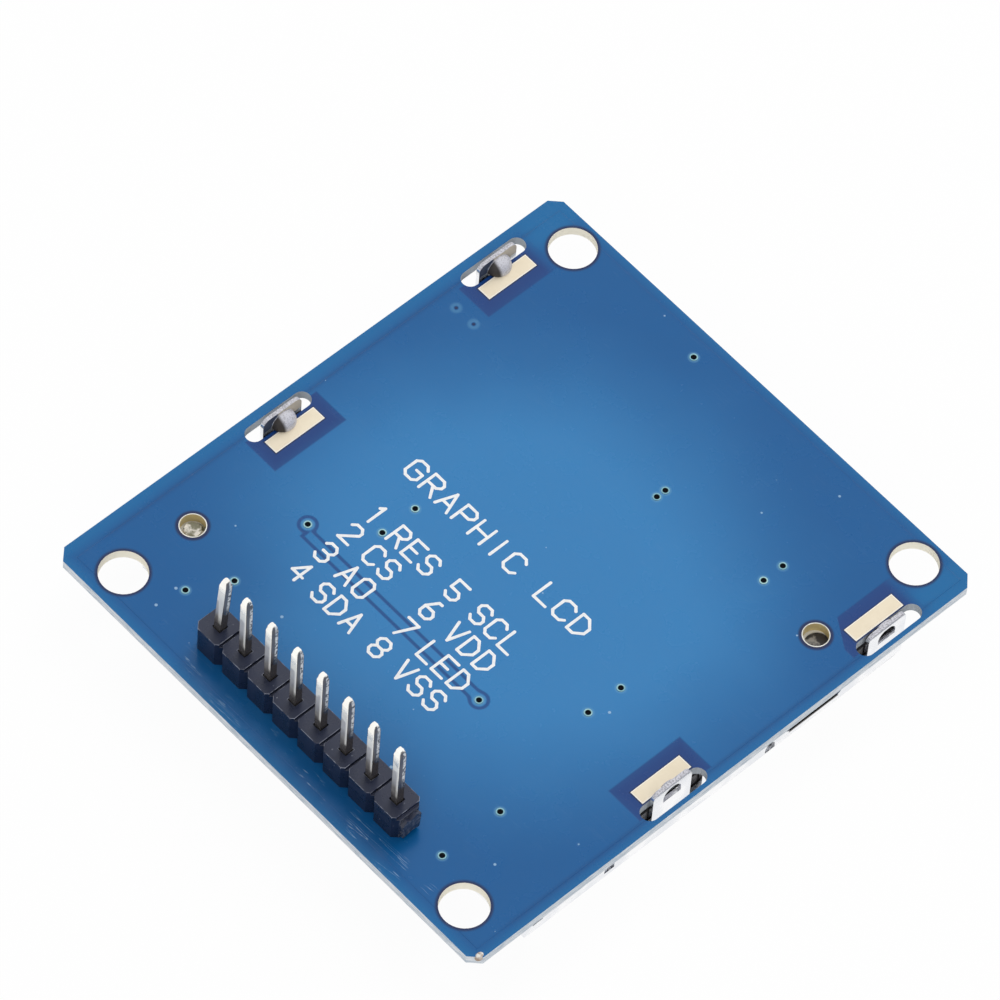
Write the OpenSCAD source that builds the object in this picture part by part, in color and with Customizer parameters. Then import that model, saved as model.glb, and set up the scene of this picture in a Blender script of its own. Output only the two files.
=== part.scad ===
// Graphic display module: a small liquid crystal display in a folded steel
// bezel, clipped to a circuit board with a pin header on its back.
// It lies on its display face. X runs along the header, Y across the board and
// +Z out of the board's back. The origin is under the middle of the board, in
// the plane of the bezel's front face.

/* [Board] */
// Width of the circuit board along X
pcb_w = 42.3; // [40:0.1:60]
// Height of the circuit board along Y
pcb_h = 46; // [44:0.1:60]
// Thickness of the circuit board
pcb_t = 0.8; // [0.6:0.1:1.6]
// Leg of the chamfer on each corner of the board
corner_cut = 0.8; // [0.2:0.1:1.5]
// Shift of the drilled pattern and the display from the board's middle along X
pattern_x = 0.2; // [-0.4:0.05:0.4]
// Shift of the drilled pattern and the display from the board's middle along Y
pattern_y = 0.15; // [-0.4:0.05:0.4]

/* [Mounting holes] */
// Diameter of the four mounting holes
hole_d = 3.5; // [2:0.1:4]
// Distance of the mounting holes from the board's sides
hole_inset_x = 3.95; // [3.4:0.05:6]
// Distance of the mounting holes from the board's ends
hole_inset_y = 2.35; // [2.3:0.05:4]

/* [Plated holes] */
// Drilled diameter of a via
via_drill = 0.5; // [0.3:0.05:0.8]
// Width of the bare ring round a via
via_ring = 0.05; // [0.05:0.01:0.3]
// Wall of the plating in a hole
plating_t = 0.04; // [0.02:0.01:0.06]
// Height of a plated rim above the board
rim_t = 0.03; // [0.02:0.01:0.1]
// Width of the bare ring round a peg hole
peg_ring = 0.03; // [0.03:0.01:0.3]

/* [Bezel] */
// Distance of the bezel from the board's ends
bezel_inset = 5.6; // [5.3:0.1:8]
// Depth of the bezel, from its front face to the board
bezel_depth = 4.2; // [3.6:0.1:6]
// Thickness of the steel sheet
sheet_t = 0.3; // [0.2:0.05:0.4]
// Inside radius of the bends
bend_r = 0.2; // [0.1:0.05:0.3]
// Gap between neighbouring walls at a corner
corner_gap = 0.4; // [0.2:0.05:1]
// How far the two end walls stop short of the board
end_wall_drop = 0.5; // [0:0.1:1]
// Narrow border of the window, on three of its sides
window_border = 2.2; // [1.8:0.1:4]
// Length of the window along Y
window_h = 25.4; // [18:0.1:25.8]
// Radius of the window's corners
window_r = 1; // [0.3:0.1:3]

/* [Tabs] */
// Width of a tab along Y
tab_w = 3.5; // [3:0.1:5]
// Distance between the two tabs of one side
tab_pitch = 19.95; // [16:0.05:22]
// Height of a tab above the board
tab_rise = 1.25; // [1.1:0.05:2]
// Radius of a tab's upper corners
tab_r = 0.6; // [0.2:0.05:1]
// Width of the notch in the wall on each side of a tab
root_w = 1.1; // [0.6:0.05:1.2]
// Depth of the notch in the wall on each side of a tab
root_deep = 1.2; // [0.4:0.05:1.6]
// Outer radius of the pressed dome that holds a tab down
dome_r = 1; // [0.8:0.05:1.1]
// How far the shallow dome of the lower right tab stands in
shallow_reach = 0.5; // [0.45:0.05:0.7]
// Sheet thickness left in a pressed dome
dome_t = 0.2; // [0.1:0.05:0.35]
// How far the opening behind a dome reaches below the dome's lip
dome_slit = 0.45; // [0.2:0.05:0.6]
// Gap between the flattened dome of the loose tab and its slot
flap_gap = 0.05; // [0.02:0.01:0.08]

/* [Tab slots] */
// Board left between a slot and the board's side
edge_strip = 0.55; // [0.45:0.05:2]
// Room in the slot outside the tab
slot_out_gap = 0.8; // [0.3:0.05:1]
// Room in the slot inside the tab
slot_in_gap = 0.25; // [0.1:0.05:0.5]
// Room in the slot beyond each edge of the tab
slot_end_gap = 1.1; // [0.5:0.05:1.5]

/* [Tab pads] */
// Width of a pad along X
pad_w = 1.2; // [1:0.05:2]
// Length of a pad along Y
pad_l = 4.45; // [3:0.05:6]
// Height of a pad above the board
pad_t = 0.05; // [0.03:0.01:0.1]
// Gap between a pad and its slot, before the pads are shifted
pad_gap = 0.2; // [0.15:0.05:0.4]
// Shift of the pads from the pattern's middle along X
pad_shift = 0.1; // [-0.1:0.05:0.1]
// Distance between the two pads of one side
pad_pitch = 19.7; // [16:0.05:22]

/* [Wall details] */
// Outer radius of the snap domes that hold the light guide
snap_r = 0.6; // [0.4:0.05:0.7]
// Sheet thickness left in a snap dome
snap_t = 0.15; // [0.1:0.05:0.25]
// Height of the third snap dome's lip above the front face
snap_lift = 0.9; // [0.9:0.05:1]
// How much higher each snap dome lies than the next one up the wall
snap_step = 0.35; // [0:0.05:0.4]
// How far the opening behind a snap dome reaches below the dome's lip
snap_slit = 0.4; // [0.1:0.05:0.4]
// Distance of the first snap dome from the bezel's lower end
snap_inset = 1.2; // [1.2:0.1:3]
// Distance between the first and the second snap dome
snap_pitch = 6.5; // [4:0.1:7]
// Distance of the third snap dome from the middle of the cut-out
snap_beside = 4.05; // [3.9:0.05:5]
// Clearance round a snap dome in the light guide
snap_clear = 0.1; // [0.05:0.05:0.2]
// Length of the cut-out in each side wall
relief_w = 5.3; // [3:0.1:6]
// Distance of the cut-out's middle from the upper tab's middle
relief_below = 6.5; // [5.8:0.05:8]
// Height of the cut-out's lower edge above the front face
relief_lift = 1.05; // [1:0.05:2.5]
// Radius of the cut-out's lower corners
relief_r = 0.6; // [0.2:0.05:1]

/* [Glass stack] */
// Thickness of each sheet of glass
glass_t = 0.55; // [0.4:0.05:0.6]
// Clearance round the glass in the light guide
glass_clear = 0.1; // [0.05:0.05:0.3]
// Glass left bare beyond the rear sheet, for the driver and the connector
ledge = 5.2; // [5:0.1:6]
// Thickness of each polarizer
polarizer_t = 0.2; // [0.1:0.05:0.25]
// Gap between the front polarizer and the window's edge
polarizer_gap = 0.2; // [0.1:0.05:0.5]
// Thickness of the diffuser film
diffuser_t = 0.15; // [0.1:0.05:0.3]
// Thickness of the reflector film
reflector_t = 0.1; // [0.05:0.05:0.2]
// How far the films stay inside the edges of what they lie on
film_inset = 0.6; // [0.2:0.1:1.5]
// Length of the driver chip along X
chip_l = 11; // [8:0.1:16]
// Width of the driver chip along Y
chip_w = 1.6; // [1:0.1:1.8]
// Thickness of the driver chip
chip_t = 0.4; // [0.3:0.05:0.5]
// Gap between the driver chip and the rear glass
chip_gap = 0.4; // [0.2:0.05:0.6]

/* [Elastomer connector] */
// Width of the elastomer strip along Y
strip_w = 1.8; // [1.2:0.1:2]
// Gap between the elastomer strip and the driver chip
strip_gap = 0.6; // [0.3:0.05:0.8]
// Clearance round the elastomer strip
strip_clear = 0.1; // [0.05:0.05:0.3]
// Number of contacts between glass and board
contact_count = 8; // [4:1:10]
// Distance between neighbouring contacts
contact_pitch = 2.4; // [1.5:0.1:2.6]
// Width of a contact pad
contact_w = 1.4; // [0.8:0.1:1.4]
// Thickness of a contact pad
contact_t = 0.04; // [0.03:0.01:0.05]

/* [Light guide] */
// Clearance between the light guide and the bezel's walls
guide_clear = 0.1; // [0.05:0.05:0.2]
// Thickness of the light guide's skirt
skirt_t = 0.7; // [0.5:0.05:1]
// Diameter of the locating peg
peg_d = 1.2; // [1:0.1:1.6]
// Drilled diameter of a peg hole in the board
peg_hole_d = 1.9; // [1.8:0.05:2.4]
// How far the peg's end lies below the board's back
peg_recess = 0.45; // [0.1:0.05:0.5]
// Gap between the peg and the near edge of its opening in the film
film_slack = 0.1; // [0.05:0.05:0.1]
// Distance of the peg holes from the bezel's sides
peg_inset = 2.8; // [2.5:0.1:4]
// Distance of the left peg hole from the bezel's lower end
peg_low_inset = 2.8; // [2.5:0.1:5]
// Distance of the right peg hole from the bezel's upper end
peg_high_inset = 5.8; // [5:0.1:7]

/* [Backlight] */
// Length of a backlight diode along Y
led_l = 1.6; // [1:0.1:2]
// Width of a backlight diode along X
led_w = 0.8; // [0.5:0.1:1.2]
// Thickness of a backlight diode
led_t = 0.6; // [0.4:0.05:0.8]
// Distance of the diodes from the bezel's sides
led_inset = 2.2; // [1.8:0.1:3]
// Distance between the two diodes of one side
led_pitch = 12; // [6:0.1:14]
// Clearance round a diode in the light guide
led_clear = 0.15; // [0.05:0.05:0.3]

/* [Chip parts] */
// Length of the resistor and the capacitor along X
smd_l = 1.6; // [1:0.1:2]
// Width of the resistor and the capacitor along Y
smd_w = 0.8; // [0.5:0.1:1.3]
// Thickness of the resistor
resistor_t = 0.45; // [0.3:0.05:0.6]
// Thickness of the capacitor
capacitor_t = 0.8; // [0.5:0.05:1]
// Length of a metal end cap
smd_cap = 0.35; // [0.2:0.05:0.45]
// How far an end cap stands proud of the body
smd_proud = 0.03; // [0.02:0.01:0.06]
// Place of the resistor along X
resistor_x = 3; // [1:0.1:4]
// Place of the capacitor along X
capacitor_x = 8; // [7:0.1:10]

/* [Header] */
// Number of pins
pin_count = 8; // [2:1:10]
// Distance between neighbouring pins
pin_pitch = 2.54; // [2:0.01:2.8]
// Side of a square pin
pin_w = 0.64; // [0.4:0.02:0.7]
// Length of a pin above the housing
pin_above = 6.3; // [3:0.1:12]
// Length of a pin below the board
pin_below = 1.6; // [1:0.1:2.4]
// Width of a pin's rounded tip
pin_tip_w = 0.46; // [0.2:0.02:0.5]
// Length of the taper to a pin's tip
pin_tip_l = 0.7; // [0.4:0.05:1.2]
// Lean of the first pin towards the others, in degrees
first_pin_lean = 4.5; // [0:0.5:6]
// Gap between a pin and its hole in the housing
pin_fit = 0.01; // [0.01:0.01:0.03]
// Drilled diameter of a pin hole in the board
pin_drill = 1; // [1:0.05:1.2]
// Shift of the header from the pattern's middle along X
header_x = 0.35; // [-2:0.05:2]
// Distance of the pins from the board's lower end
header_inset = 3.55; // [2.5:0.05:3.9]
// Height of the housing
housing_h = 2.5; // [1.5:0.1:4]
// Depth of the housing along Y
housing_d = 2.5; // [2.2:0.05:2.8]
// Leg of the chamfer on a cell's corners
cell_cut = 0.42; // [0.2:0.02:0.7]
// Width of the step at each cell's right edge
seam_w = 0.2; // [0.1:0.02:0.4]
// Depth of the step at each cell's right edge
seam_deep = 0.3; // [0.1:0.05:0.6]
// Width of the recess round a pin
mouth_w = 0.76; // [0.74:0.02:1]
// Depth of the recess round a pin
mouth_deep = 0.25; // [0.2:0.05:0.6]
// Length of the broken web on the housing's right end
stub_l = 0.3; // [0.1:0.05:0.5]
// Diameter of a solder joint at the board
solder_d = 1.8; // [1.4:0.05:2]
// Diameter of a solder joint at its tip
solder_tip_d = 0.96; // [0.94:0.01:1.2]
// Height of a solder joint
solder_h = 1; // [0.5:0.05:1.2]

/* [Hidden] */
$fn = 48;
BIG = 100;

// Plan sizes
bend_out = bend_r + sheet_t;
bezel_w = pcb_w - 2 * (edge_strip + slot_out_gap);
bezel_h = pcb_h - 2 * bezel_inset;
window_w = bezel_w - 2 * window_border;
window_y = window_border + window_h / 2 - bezel_h / 2;
guide_w = bezel_w - 2 * (sheet_t + guide_clear);
guide_h = bezel_h - 2 * (sheet_t + guide_clear);
glass_w = guide_w - 2 * (skirt_t + glass_clear);
glass_h = guide_h - 2 * (skirt_t + glass_clear);
rear_h = glass_h - ledge;
rear_y = -ledge / 2;
hole_x = pcb_w / 2 - hole_inset_x;
hole_y = pcb_h / 2 - hole_inset_y;

// Tabs, slots and pads on the right side: the left side mirrors them
tab_in = bezel_w / 2 - sheet_t;
tab_high = bezel_h / 2 - tab_w / 2;
tab_y = [tab_high - tab_pitch, tab_high];
relief_y = tab_high - relief_below;
snap_low = snap_inset - bezel_h / 2;
snap_at = [
    [snap_low, snap_lift + 2 * snap_step],
    [snap_low + snap_pitch, snap_lift + snap_step],
    [relief_y - snap_beside, snap_lift]
];
slot_w = slot_out_gap + sheet_t + slot_in_gap;
slot_l = tab_w + 2 * slot_end_gap;
slot_x = bezel_w / 2 + slot_out_gap - slot_w / 2;
pad_x = slot_x - slot_w / 2 - pad_gap - pad_w / 2;
pad_mid = tab_high - tab_pitch / 2;

// Peg holes, diodes, driver and connector
peg_at = [
    [peg_inset - bezel_w / 2, peg_low_inset - bezel_h / 2],
    [bezel_w / 2 - peg_inset, bezel_h / 2 - peg_high_inset]
];
film_shift = (peg_hole_d - peg_d) / 2 - film_slack;
led_x = bezel_w / 2 - led_inset;
led_at = [for (side = [-1, 1], row = [-1, 1]) [side * led_x, window_y + row * led_pitch / 2]];
chip_y = rear_y + rear_h / 2 + chip_gap + chip_w / 2;
strip_y = chip_y + chip_w / 2 + strip_gap + strip_w / 2;
strip_l = contact_count * contact_pitch;
smd_y = (pattern_y + bezel_h / 2 + pcb_h / 2) / 2;

// Levels, from the bezel's front face up
z_cell = sheet_t + glass_t;
z_rear = z_cell + glass_t;
z_film = z_rear + polarizer_t;
z_guide = z_film + diffuser_t;
z_reflector = bezel_depth - reflector_t;
z_contact = bezel_depth - contact_t;
z_back = bezel_depth + pcb_t;
z_lip = z_back + pad_t;
z_header = z_back + housing_h;

// The upper right tab is loose: its dome's lip is still level with the board's front
loose_drop = z_lip - bezel_depth;

// Header
header_at = [pattern_x + header_x, header_inset - pcb_h / 2, 0];
web_d = housing_d - 2 * cell_cut;
housing_l = pin_count * pin_pitch;
function pin_at(i) = header_at + [(i - (pin_count + 1) / 2) * pin_pitch, 0, 0];

// Vias, in the drilled pattern: some follow the board's lower or upper end
via_low = [[13.4, 9], [13.4, 3.8], [-13.4, 4.6], [-11.8, 7.6]];
via_mid = [
    [-8.2, -2.2], [-8.2, -5.2], [-12, -8.6], [6, -9.2], [1.8, 11],
    [1.8, 11.8], [11.5, 13.7], [11.5, 11.9], [11.5, -1.3], [11.5, -4.3]
];
via_high = [[-5, -2.2]];
via_at = concat(
    [for (at = via_low) at - [0, pcb_h / 2]],
    via_mid,
    [for (at = via_high) at + [0, pcb_h / 2]]
);

// Moves the drilled pattern and the display to their place on the board
module on_pattern() {
    translate([pattern_x, pattern_y, 0]) children();
}

// Repeats a right-hand feature on the left
module both_sides() {
    children();
    mirror([1, 0, 0]) children();
}

// Plate of a given plan size between two levels
module plate(size, low, high) {
    translate([0, 0, low]) linear_extrude(high - low) square(size, center = true);
}

// Rectangle with round corners, about its middle
module round_rect(size, r) {
    square([size.x - 2 * r, size.y], center = true);
    square([size.x, size.y - 2 * r], center = true);
    for (x = [-1, 1], y = [-1, 1]) {
        translate([x * (size.x / 2 - r), y * (size.y / 2 - r)]) circle(r);
    }
}

// Half disc that stands on its straight edge
module half_disc(r) {
    intersection() {
        circle(r);
        translate([-r, 0]) square([2 * r, r]);
    }
}

// Tube through the board, with a rim on the back
module plated_barrel(drill, ring) {
    translate([0, 0, bezel_depth]) rotate_extrude() {
        translate([drill / 2 - plating_t, 0]) square([plating_t, pcb_t + rim_t]);
        translate([drill / 2 - plating_t, pcb_t]) square([plating_t + ring, rim_t]);
    }
}

// Board outline with chamfered corners
module pcb_outline() {
    x = pcb_w / 2;
    y = pcb_h / 2;
    c = corner_cut;
    polygon([
        [c - x, -y], [x - c, -y], [x, c - y], [x, y - c],
        [x - c, y], [c - x, y], [-x, y - c], [-x, c - y]
    ]);
}

// Tab slot with round ends
module slot_outline() {
    square([slot_w, slot_l - slot_w], center = true);
    for (end = [-1, 1]) {
        translate([0, end * (slot_l - slot_w) / 2]) circle(slot_w / 2);
    }
}

module pcb() {
    color([0.22, 0.45, 0.68]) translate([0, 0, bezel_depth]) linear_extrude(pcb_t) difference() {
        pcb_outline();
        translate([pattern_x, pattern_y]) {
            for (x = [-hole_x, hole_x], y = [-hole_y, hole_y]) {
                translate([x, y]) circle(hole_d / 2);
            }
            for (at = via_at) {
                translate(at) circle(via_drill / 2);
            }
            for (at = peg_at) {
                translate(at) circle(peg_hole_d / 2);
            }
            both_sides() {
                for (y = tab_y) {
                    translate([slot_x, y]) slot_outline();
                }
            }
        }
        for (i = [1:pin_count]) {
            translate([pin_at(i).x, pin_at(i).y]) circle(pin_drill / 2);
        }
    }
}

module via_plating() {
    color([0.78, 0.84, 0.84]) on_pattern() {
        for (at = via_at) {
            translate([at.x, at.y, 0]) plated_barrel(via_drill, via_ring);
        }
    }
}

module peg_hole_plating() {
    color([0.85, 0.83, 0.72]) on_pattern() {
        for (at = peg_at) {
            translate([at.x, at.y, 0]) plated_barrel(peg_hole_d, peg_ring);
        }
    }
}

module tab_pads() {
    color([0.9, 0.86, 0.77]) on_pattern() translate([pad_shift, pad_mid, 0]) {
        for (x = [-pad_x, pad_x], y = [-pad_pitch / 2, pad_pitch / 2]) {
            translate([x, y, 0]) plate([pad_w, pad_l], z_back, z_lip);
        }
    }
}

module contact_pads() {
    color([0.85, 0.7, 0.35]) on_pattern() {
        for (i = [1:contact_count]) {
            x = (i - (contact_count + 1) / 2) * contact_pitch;
            translate([x, strip_y, 0]) plate([contact_w, strip_w], z_contact, bezel_depth);
        }
    }
}

// Tab with round upper corners, seen along X: Y across and Z up
module tab_outline(drop) {
    top = z_back + tab_rise - drop;
    translate([-tab_w / 2, bend_out]) square([tab_w, top - tab_r - bend_out]);
    translate([tab_r - tab_w / 2, bend_out]) square([tab_w - 2 * tab_r, top - bend_out]);
    for (side = [-1, 1]) {
        translate([side * (tab_w / 2 - tab_r), top - tab_r]) circle(tab_r);
    }
}

// Arched opening in the sheet behind a dome, with a slit below the dome's lip
module dome_opening(r, slit) {
    half_disc(r);
    translate([-r, -slit]) square([2 * r, slit]);
}

// Side wall with its tabs, the notches beside them, its cut-out and the openings behind the domes
module side_wall_outline(drops) {
    difference() {
        union() {
            translate([-bezel_h / 2, bend_out]) square([bezel_h, bezel_depth - bend_out]);
            for (i = [0:len(tab_y) - 1]) {
                translate([tab_y[i], 0]) tab_outline(drops[i]);
            }
        }
        relief_h = 2 * (bezel_depth - relief_lift);
        translate([relief_y, relief_lift + relief_h / 2]) round_rect([relief_w, relief_h], relief_r);
        for (y = tab_y, side = [-1, 1]) {
            translate([y + side * (tab_w + root_w) / 2, bezel_depth]) {
                square([root_w, 2 * root_deep], center = true);
            }
        }
        for (i = [0:len(tab_y) - 1]) {
            translate([tab_y[i], z_lip - drops[i]]) dome_opening(dome_r - dome_t, dome_slit);
        }
        for (at = snap_at) {
            translate(at) dome_opening(snap_r - snap_t, snap_slit);
        }
    }
}

// Upper half of a hollow ball's cap, pressed inwards from the sheet and open at its lip
module pressed_dome(r, reach, wall) {
    ball = (r * r + reach * reach) / (2 * reach);
    difference() {
        intersection() {
            translate([ball - reach, 0, 0]) sphere(ball);
            translate([-r, -r, 0]) cube([r + sheet_t / 2, 2 * r, r]);
        }
        translate([ball - reach, 0, 0]) sphere(ball - wall);
    }
}

// Dome that has stayed in its slot, pressed flat there
module flat_dome() {
    reach = slot_in_gap - flap_gap;
    translate([-reach, 0, 0]) rotate([90, 0, 90]) linear_extrude(reach) half_disc(dome_r);
}

// Rounded fold between the front face and a wall at a distance from the middle
module fold(reach, length) {
    translate([reach - bend_out, length / 2, bend_out]) rotate([90, 0, 0]) linear_extrude(length) {
        intersection() {
            difference() {
                circle(bend_out);
                circle(bend_r);
            }
            translate([0, -bend_out]) square(bend_out);
        }
    }
}

// Side wall whose tabs stand lower by the given drops, with domes of a given reach
module bezel_side(drops, reach) {
    translate([tab_in, 0, 0]) {
        rotate([90, 0, 90]) linear_extrude(sheet_t) side_wall_outline(drops);
        for (i = [0:len(tab_y) - 1]) {
            translate([0, tab_y[i], z_lip - drops[i]]) {
                if (drops[i] > 0) {
                    flat_dome();
                } else {
                    pressed_dome(dome_r, reach, dome_t);
                }
            }
        }
        for (at = snap_at) {
            translate([0, at.x, at.y]) pressed_dome(snap_r, snap_r, snap_t);
        }
    }
    fold(bezel_w / 2, bezel_h - 2 * bend_out);
}

module bezel_end() {
    length = bezel_w - 2 * (bend_out + corner_gap);
    high = bezel_depth - end_wall_drop;
    translate([bezel_h / 2 - sheet_t, -length / 2, bend_out]) cube([sheet_t, length, high - bend_out]);
    fold(bezel_h / 2, length);
}

module lcd_bezel() {
    color([0.8, 0.81, 0.82]) on_pattern() {
        linear_extrude(sheet_t) difference() {
            square([bezel_w - 2 * bend_out, bezel_h - 2 * bend_out], center = true);
            translate([0, window_y]) round_rect([window_w, window_h], window_r);
        }
        bezel_side([0, loose_drop], shallow_reach);
        mirror([1, 0, 0]) bezel_side([0, 0], dome_r);
        rotate(90) both_sides() bezel_end();
    }
}

module front_polarizer() {
    size = [window_w - 2 * polarizer_gap, window_h - 2 * polarizer_gap];
    color([0.62, 0.68, 0.6]) on_pattern() translate([0, window_y, sheet_t - polarizer_t]) {
        linear_extrude(polarizer_t) round_rect(size, window_r - polarizer_gap);
    }
}

module front_glass() {
    color([0.75, 0.82, 0.8]) on_pattern() plate([glass_w, glass_h], sheet_t, z_cell);
}

module rear_glass() {
    color([0.72, 0.8, 0.78]) on_pattern() translate([0, rear_y, 0]) plate([glass_w, rear_h], z_cell, z_rear);
}

module film_on_rear(low, high) {
    size = [glass_w - 2 * film_inset, rear_h - 2 * film_inset];
    on_pattern() translate([0, rear_y, 0]) plate(size, low, high);
}

module rear_polarizer() {
    color([0.55, 0.6, 0.56]) film_on_rear(z_rear, z_film);
}

module diffuser_film() {
    color([0.95, 0.95, 0.93]) film_on_rear(z_film, z_guide);
}

// Room for the elastomer strip
module strip_slot() {
    size = [strip_l + 2 * strip_clear, strip_w + 2 * strip_clear];
    translate([0, strip_y, 0]) plate(size, z_cell, bezel_depth);
}

// Room for the four diodes
module led_pockets() {
    size = [led_w + 2 * led_clear, led_l + 2 * led_clear];
    for (at = led_at) {
        translate([at.x, at.y, 0]) plate(size, bezel_depth - led_t - led_clear, bezel_depth);
    }
}

// Notches in the skirt that the snap domes reach into
module snap_notches() {
    width = 2 * (snap_r + snap_clear);
    for (at = snap_at) {
        translate([guide_w / 2 - skirt_t, at.x - width / 2, at.y - snap_clear]) {
            cube([BIG, width, snap_r + 2 * snap_clear]);
        }
    }
}

module light_guide() {
    color([0.9, 0.91, 0.88]) on_pattern() {
        difference() {
            plate([guide_w, guide_h], sheet_t + bend_r, z_reflector);
            plate([guide_w - 2 * skirt_t, guide_h - 2 * skirt_t], 0, z_guide);
            strip_slot();
            led_pockets();
            both_sides() snap_notches();
        }
        translate([peg_at[0].x, peg_at[0].y, z_reflector]) {
            cylinder(d = peg_d, h = z_back - peg_recess - z_reflector);
        }
    }
}

module reflector_film() {
    size = [guide_w - 2 * film_inset, guide_h - 2 * film_inset];
    color([0.96, 0.96, 0.96]) on_pattern() difference() {
        plate(size, z_reflector, bezel_depth);
        strip_slot();
        led_pockets();
        for (at = peg_at) {
            translate([at.x + film_shift, at.y, 0]) cylinder(d = peg_hole_d, h = BIG);
        }
    }
}

module driver_chip() {
    color([0.16, 0.17, 0.19]) on_pattern() translate([0, chip_y, 0]) {
        plate([chip_l, chip_w], z_cell, z_cell + chip_t);
    }
}

module elastomer_connector() {
    color([0.75, 0.73, 0.66]) on_pattern() translate([0, strip_y, 0]) {
        plate([strip_l, strip_w], z_cell, z_contact);
    }
}

module led(i) {
    at = led_at[i - 1];
    color([0.93, 0.9, 0.7]) on_pattern() translate([at.x, at.y, 0]) {
        plate([led_w, led_l], bezel_depth - led_t, bezel_depth);
    }
}

// Chip part under the board, with a metal cap on each end
module chip_part(x, thickness) {
    translate([x, smd_y, 0]) {
        plate([smd_l - 2 * smd_cap, smd_w - 2 * smd_proud], bezel_depth - thickness + smd_proud, bezel_depth);
        for (end = [-1, 1]) {
            translate([end * (smd_l - smd_cap) / 2, 0, 0]) {
                plate([smd_cap, smd_w], bezel_depth - thickness, bezel_depth);
            }
        }
    }
}

module led_resistor() {
    color([0.13, 0.13, 0.14]) chip_part(resistor_x, resistor_t);
}

module display_capacitor() {
    color([0.66, 0.53, 0.38]) chip_part(capacitor_x, capacitor_t);
}

// One cell of the header strip, from above
module cell_outline() {
    x = pin_pitch / 2;
    y = housing_d / 2;
    c = cell_cut;
    polygon([
        [c - x, -y], [x - c, -y], [x, c - y], [x, y - c],
        [x - c, y], [c - x, y], [-x, y - c], [-x, c - y]
    ]);
}

// What is left of the web to the next cell, where the strip was broken off
module broken_web() {
    // Shares of the web's depth and of the housing's height
    shares = [
        [-0.46, 0.06], [-0.5, 0.62], [-0.3, 0.8], [-0.05, 0.72],
        [0.2, 0.84], [0.5, 0.7], [0.42, 0.1], [0.05, 0.16]
    ];
    outline = [for (p = shares) [p.x * web_d, p.y * housing_h]];
    translate([housing_l / 2, 0, 0]) rotate([90, 0, 90]) linear_extrude(stub_l) polygon(outline);
}

module header_housing() {
    hole_w = pin_w + 2 * pin_fit;
    color([0.2, 0.2, 0.24]) {
        difference() {
            for (i = [1:pin_count]) {
                translate(pin_at(i) + [0, 0, z_back]) linear_extrude(housing_h) cell_outline();
            }
            for (i = [1:pin_count]) {
                translate(pin_at(i)) {
                    plate([hole_w, hole_w], 0, BIG);
                    plate([mouth_w, mouth_w], z_header - mouth_deep, BIG);
                }
            }
            for (i = [1:pin_count]) {
                translate(pin_at(i) + [(pin_pitch - seam_w) / 2, 0, 0]) {
                    plate([seam_w, housing_d], z_header - seam_deep, BIG);
                }
            }
        }
        translate(header_at + [0, 0, z_back]) broken_web();
    }
}

// Pin shank that tapers to a rounded tip, seen from one side
module pin_profile(length) {
    r = pin_tip_w / 2;
    shank = length - pin_tip_l;
    polygon([
        [-pin_w / 2, 0], [pin_w / 2, 0], [pin_w / 2, shank],
        [r, length - r], [-r, length - r], [-pin_w / 2, shank]
    ]);
    translate([0, length - r]) circle(r);
}

// Square bar, tapered in both directions to its tip
module pin_bar(length) {
    intersection() {
        rotate([90, 0, 0]) linear_extrude(pin_w, center = true) pin_profile(length);
        rotate([90, 0, 90]) linear_extrude(pin_w, center = true) pin_profile(length);
    }
}

module pin(i) {
    lean = i == 1 ? first_pin_lean : 0;
    z_low = bezel_depth - pin_below;
    z_bend = z_header - mouth_deep / 2;
    color([0.83, 0.82, 0.78]) translate(pin_at(i)) {
        plate([pin_w, pin_w], z_low, z_bend);
        translate([0, 0, z_bend]) rotate([0, lean, 0]) pin_bar(pin_above + mouth_deep / 2);
    }
}

// Solder cone under the board, with the filled hole
module solder(i) {
    color([0.74, 0.75, 0.76]) translate(pin_at(i)) difference() {
        union() {
            translate([0, 0, bezel_depth - solder_h]) {
                cylinder(d1 = solder_tip_d, d2 = solder_d, h = solder_h);
            }
            translate([0, 0, bezel_depth]) cylinder(d = pin_drill, h = pcb_t);
        }
        plate([pin_w, pin_w], 0, BIG);
    }
}

pcb();
via_plating();
peg_hole_plating();
tab_pads();
contact_pads();
lcd_bezel();
front_polarizer();
front_glass();
rear_glass();
rear_polarizer();
diffuser_film();
light_guide();
reflector_film();
driver_chip();
elastomer_connector();
led_resistor();
display_capacitor();
header_housing();
for (i = [1:len(led_at)]) {
    led(i);
}
for (i = [1:pin_count]) {
    pin(i);
}
for (i = [1:pin_count]) {
    solder(i);
}
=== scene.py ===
"""Dressed model of a small graphic display module, lying on its display face.

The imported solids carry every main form. This file gives each of them its finish,
softens the edges that catch the light, prints the board's legend, closes the vias
with mask and adds the torn lump at one corner of the board. Lengths are millimetres
until a mesh is finished, and metres in it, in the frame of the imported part.
"""

import logging
import math
from dataclasses import dataclass
from enum import Enum
from functools import cached_property, partial, reduce
from typing import Callable, ClassVar, Optional, Union

import bmesh
import bpy
from mathutils import Matrix, Vector


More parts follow.
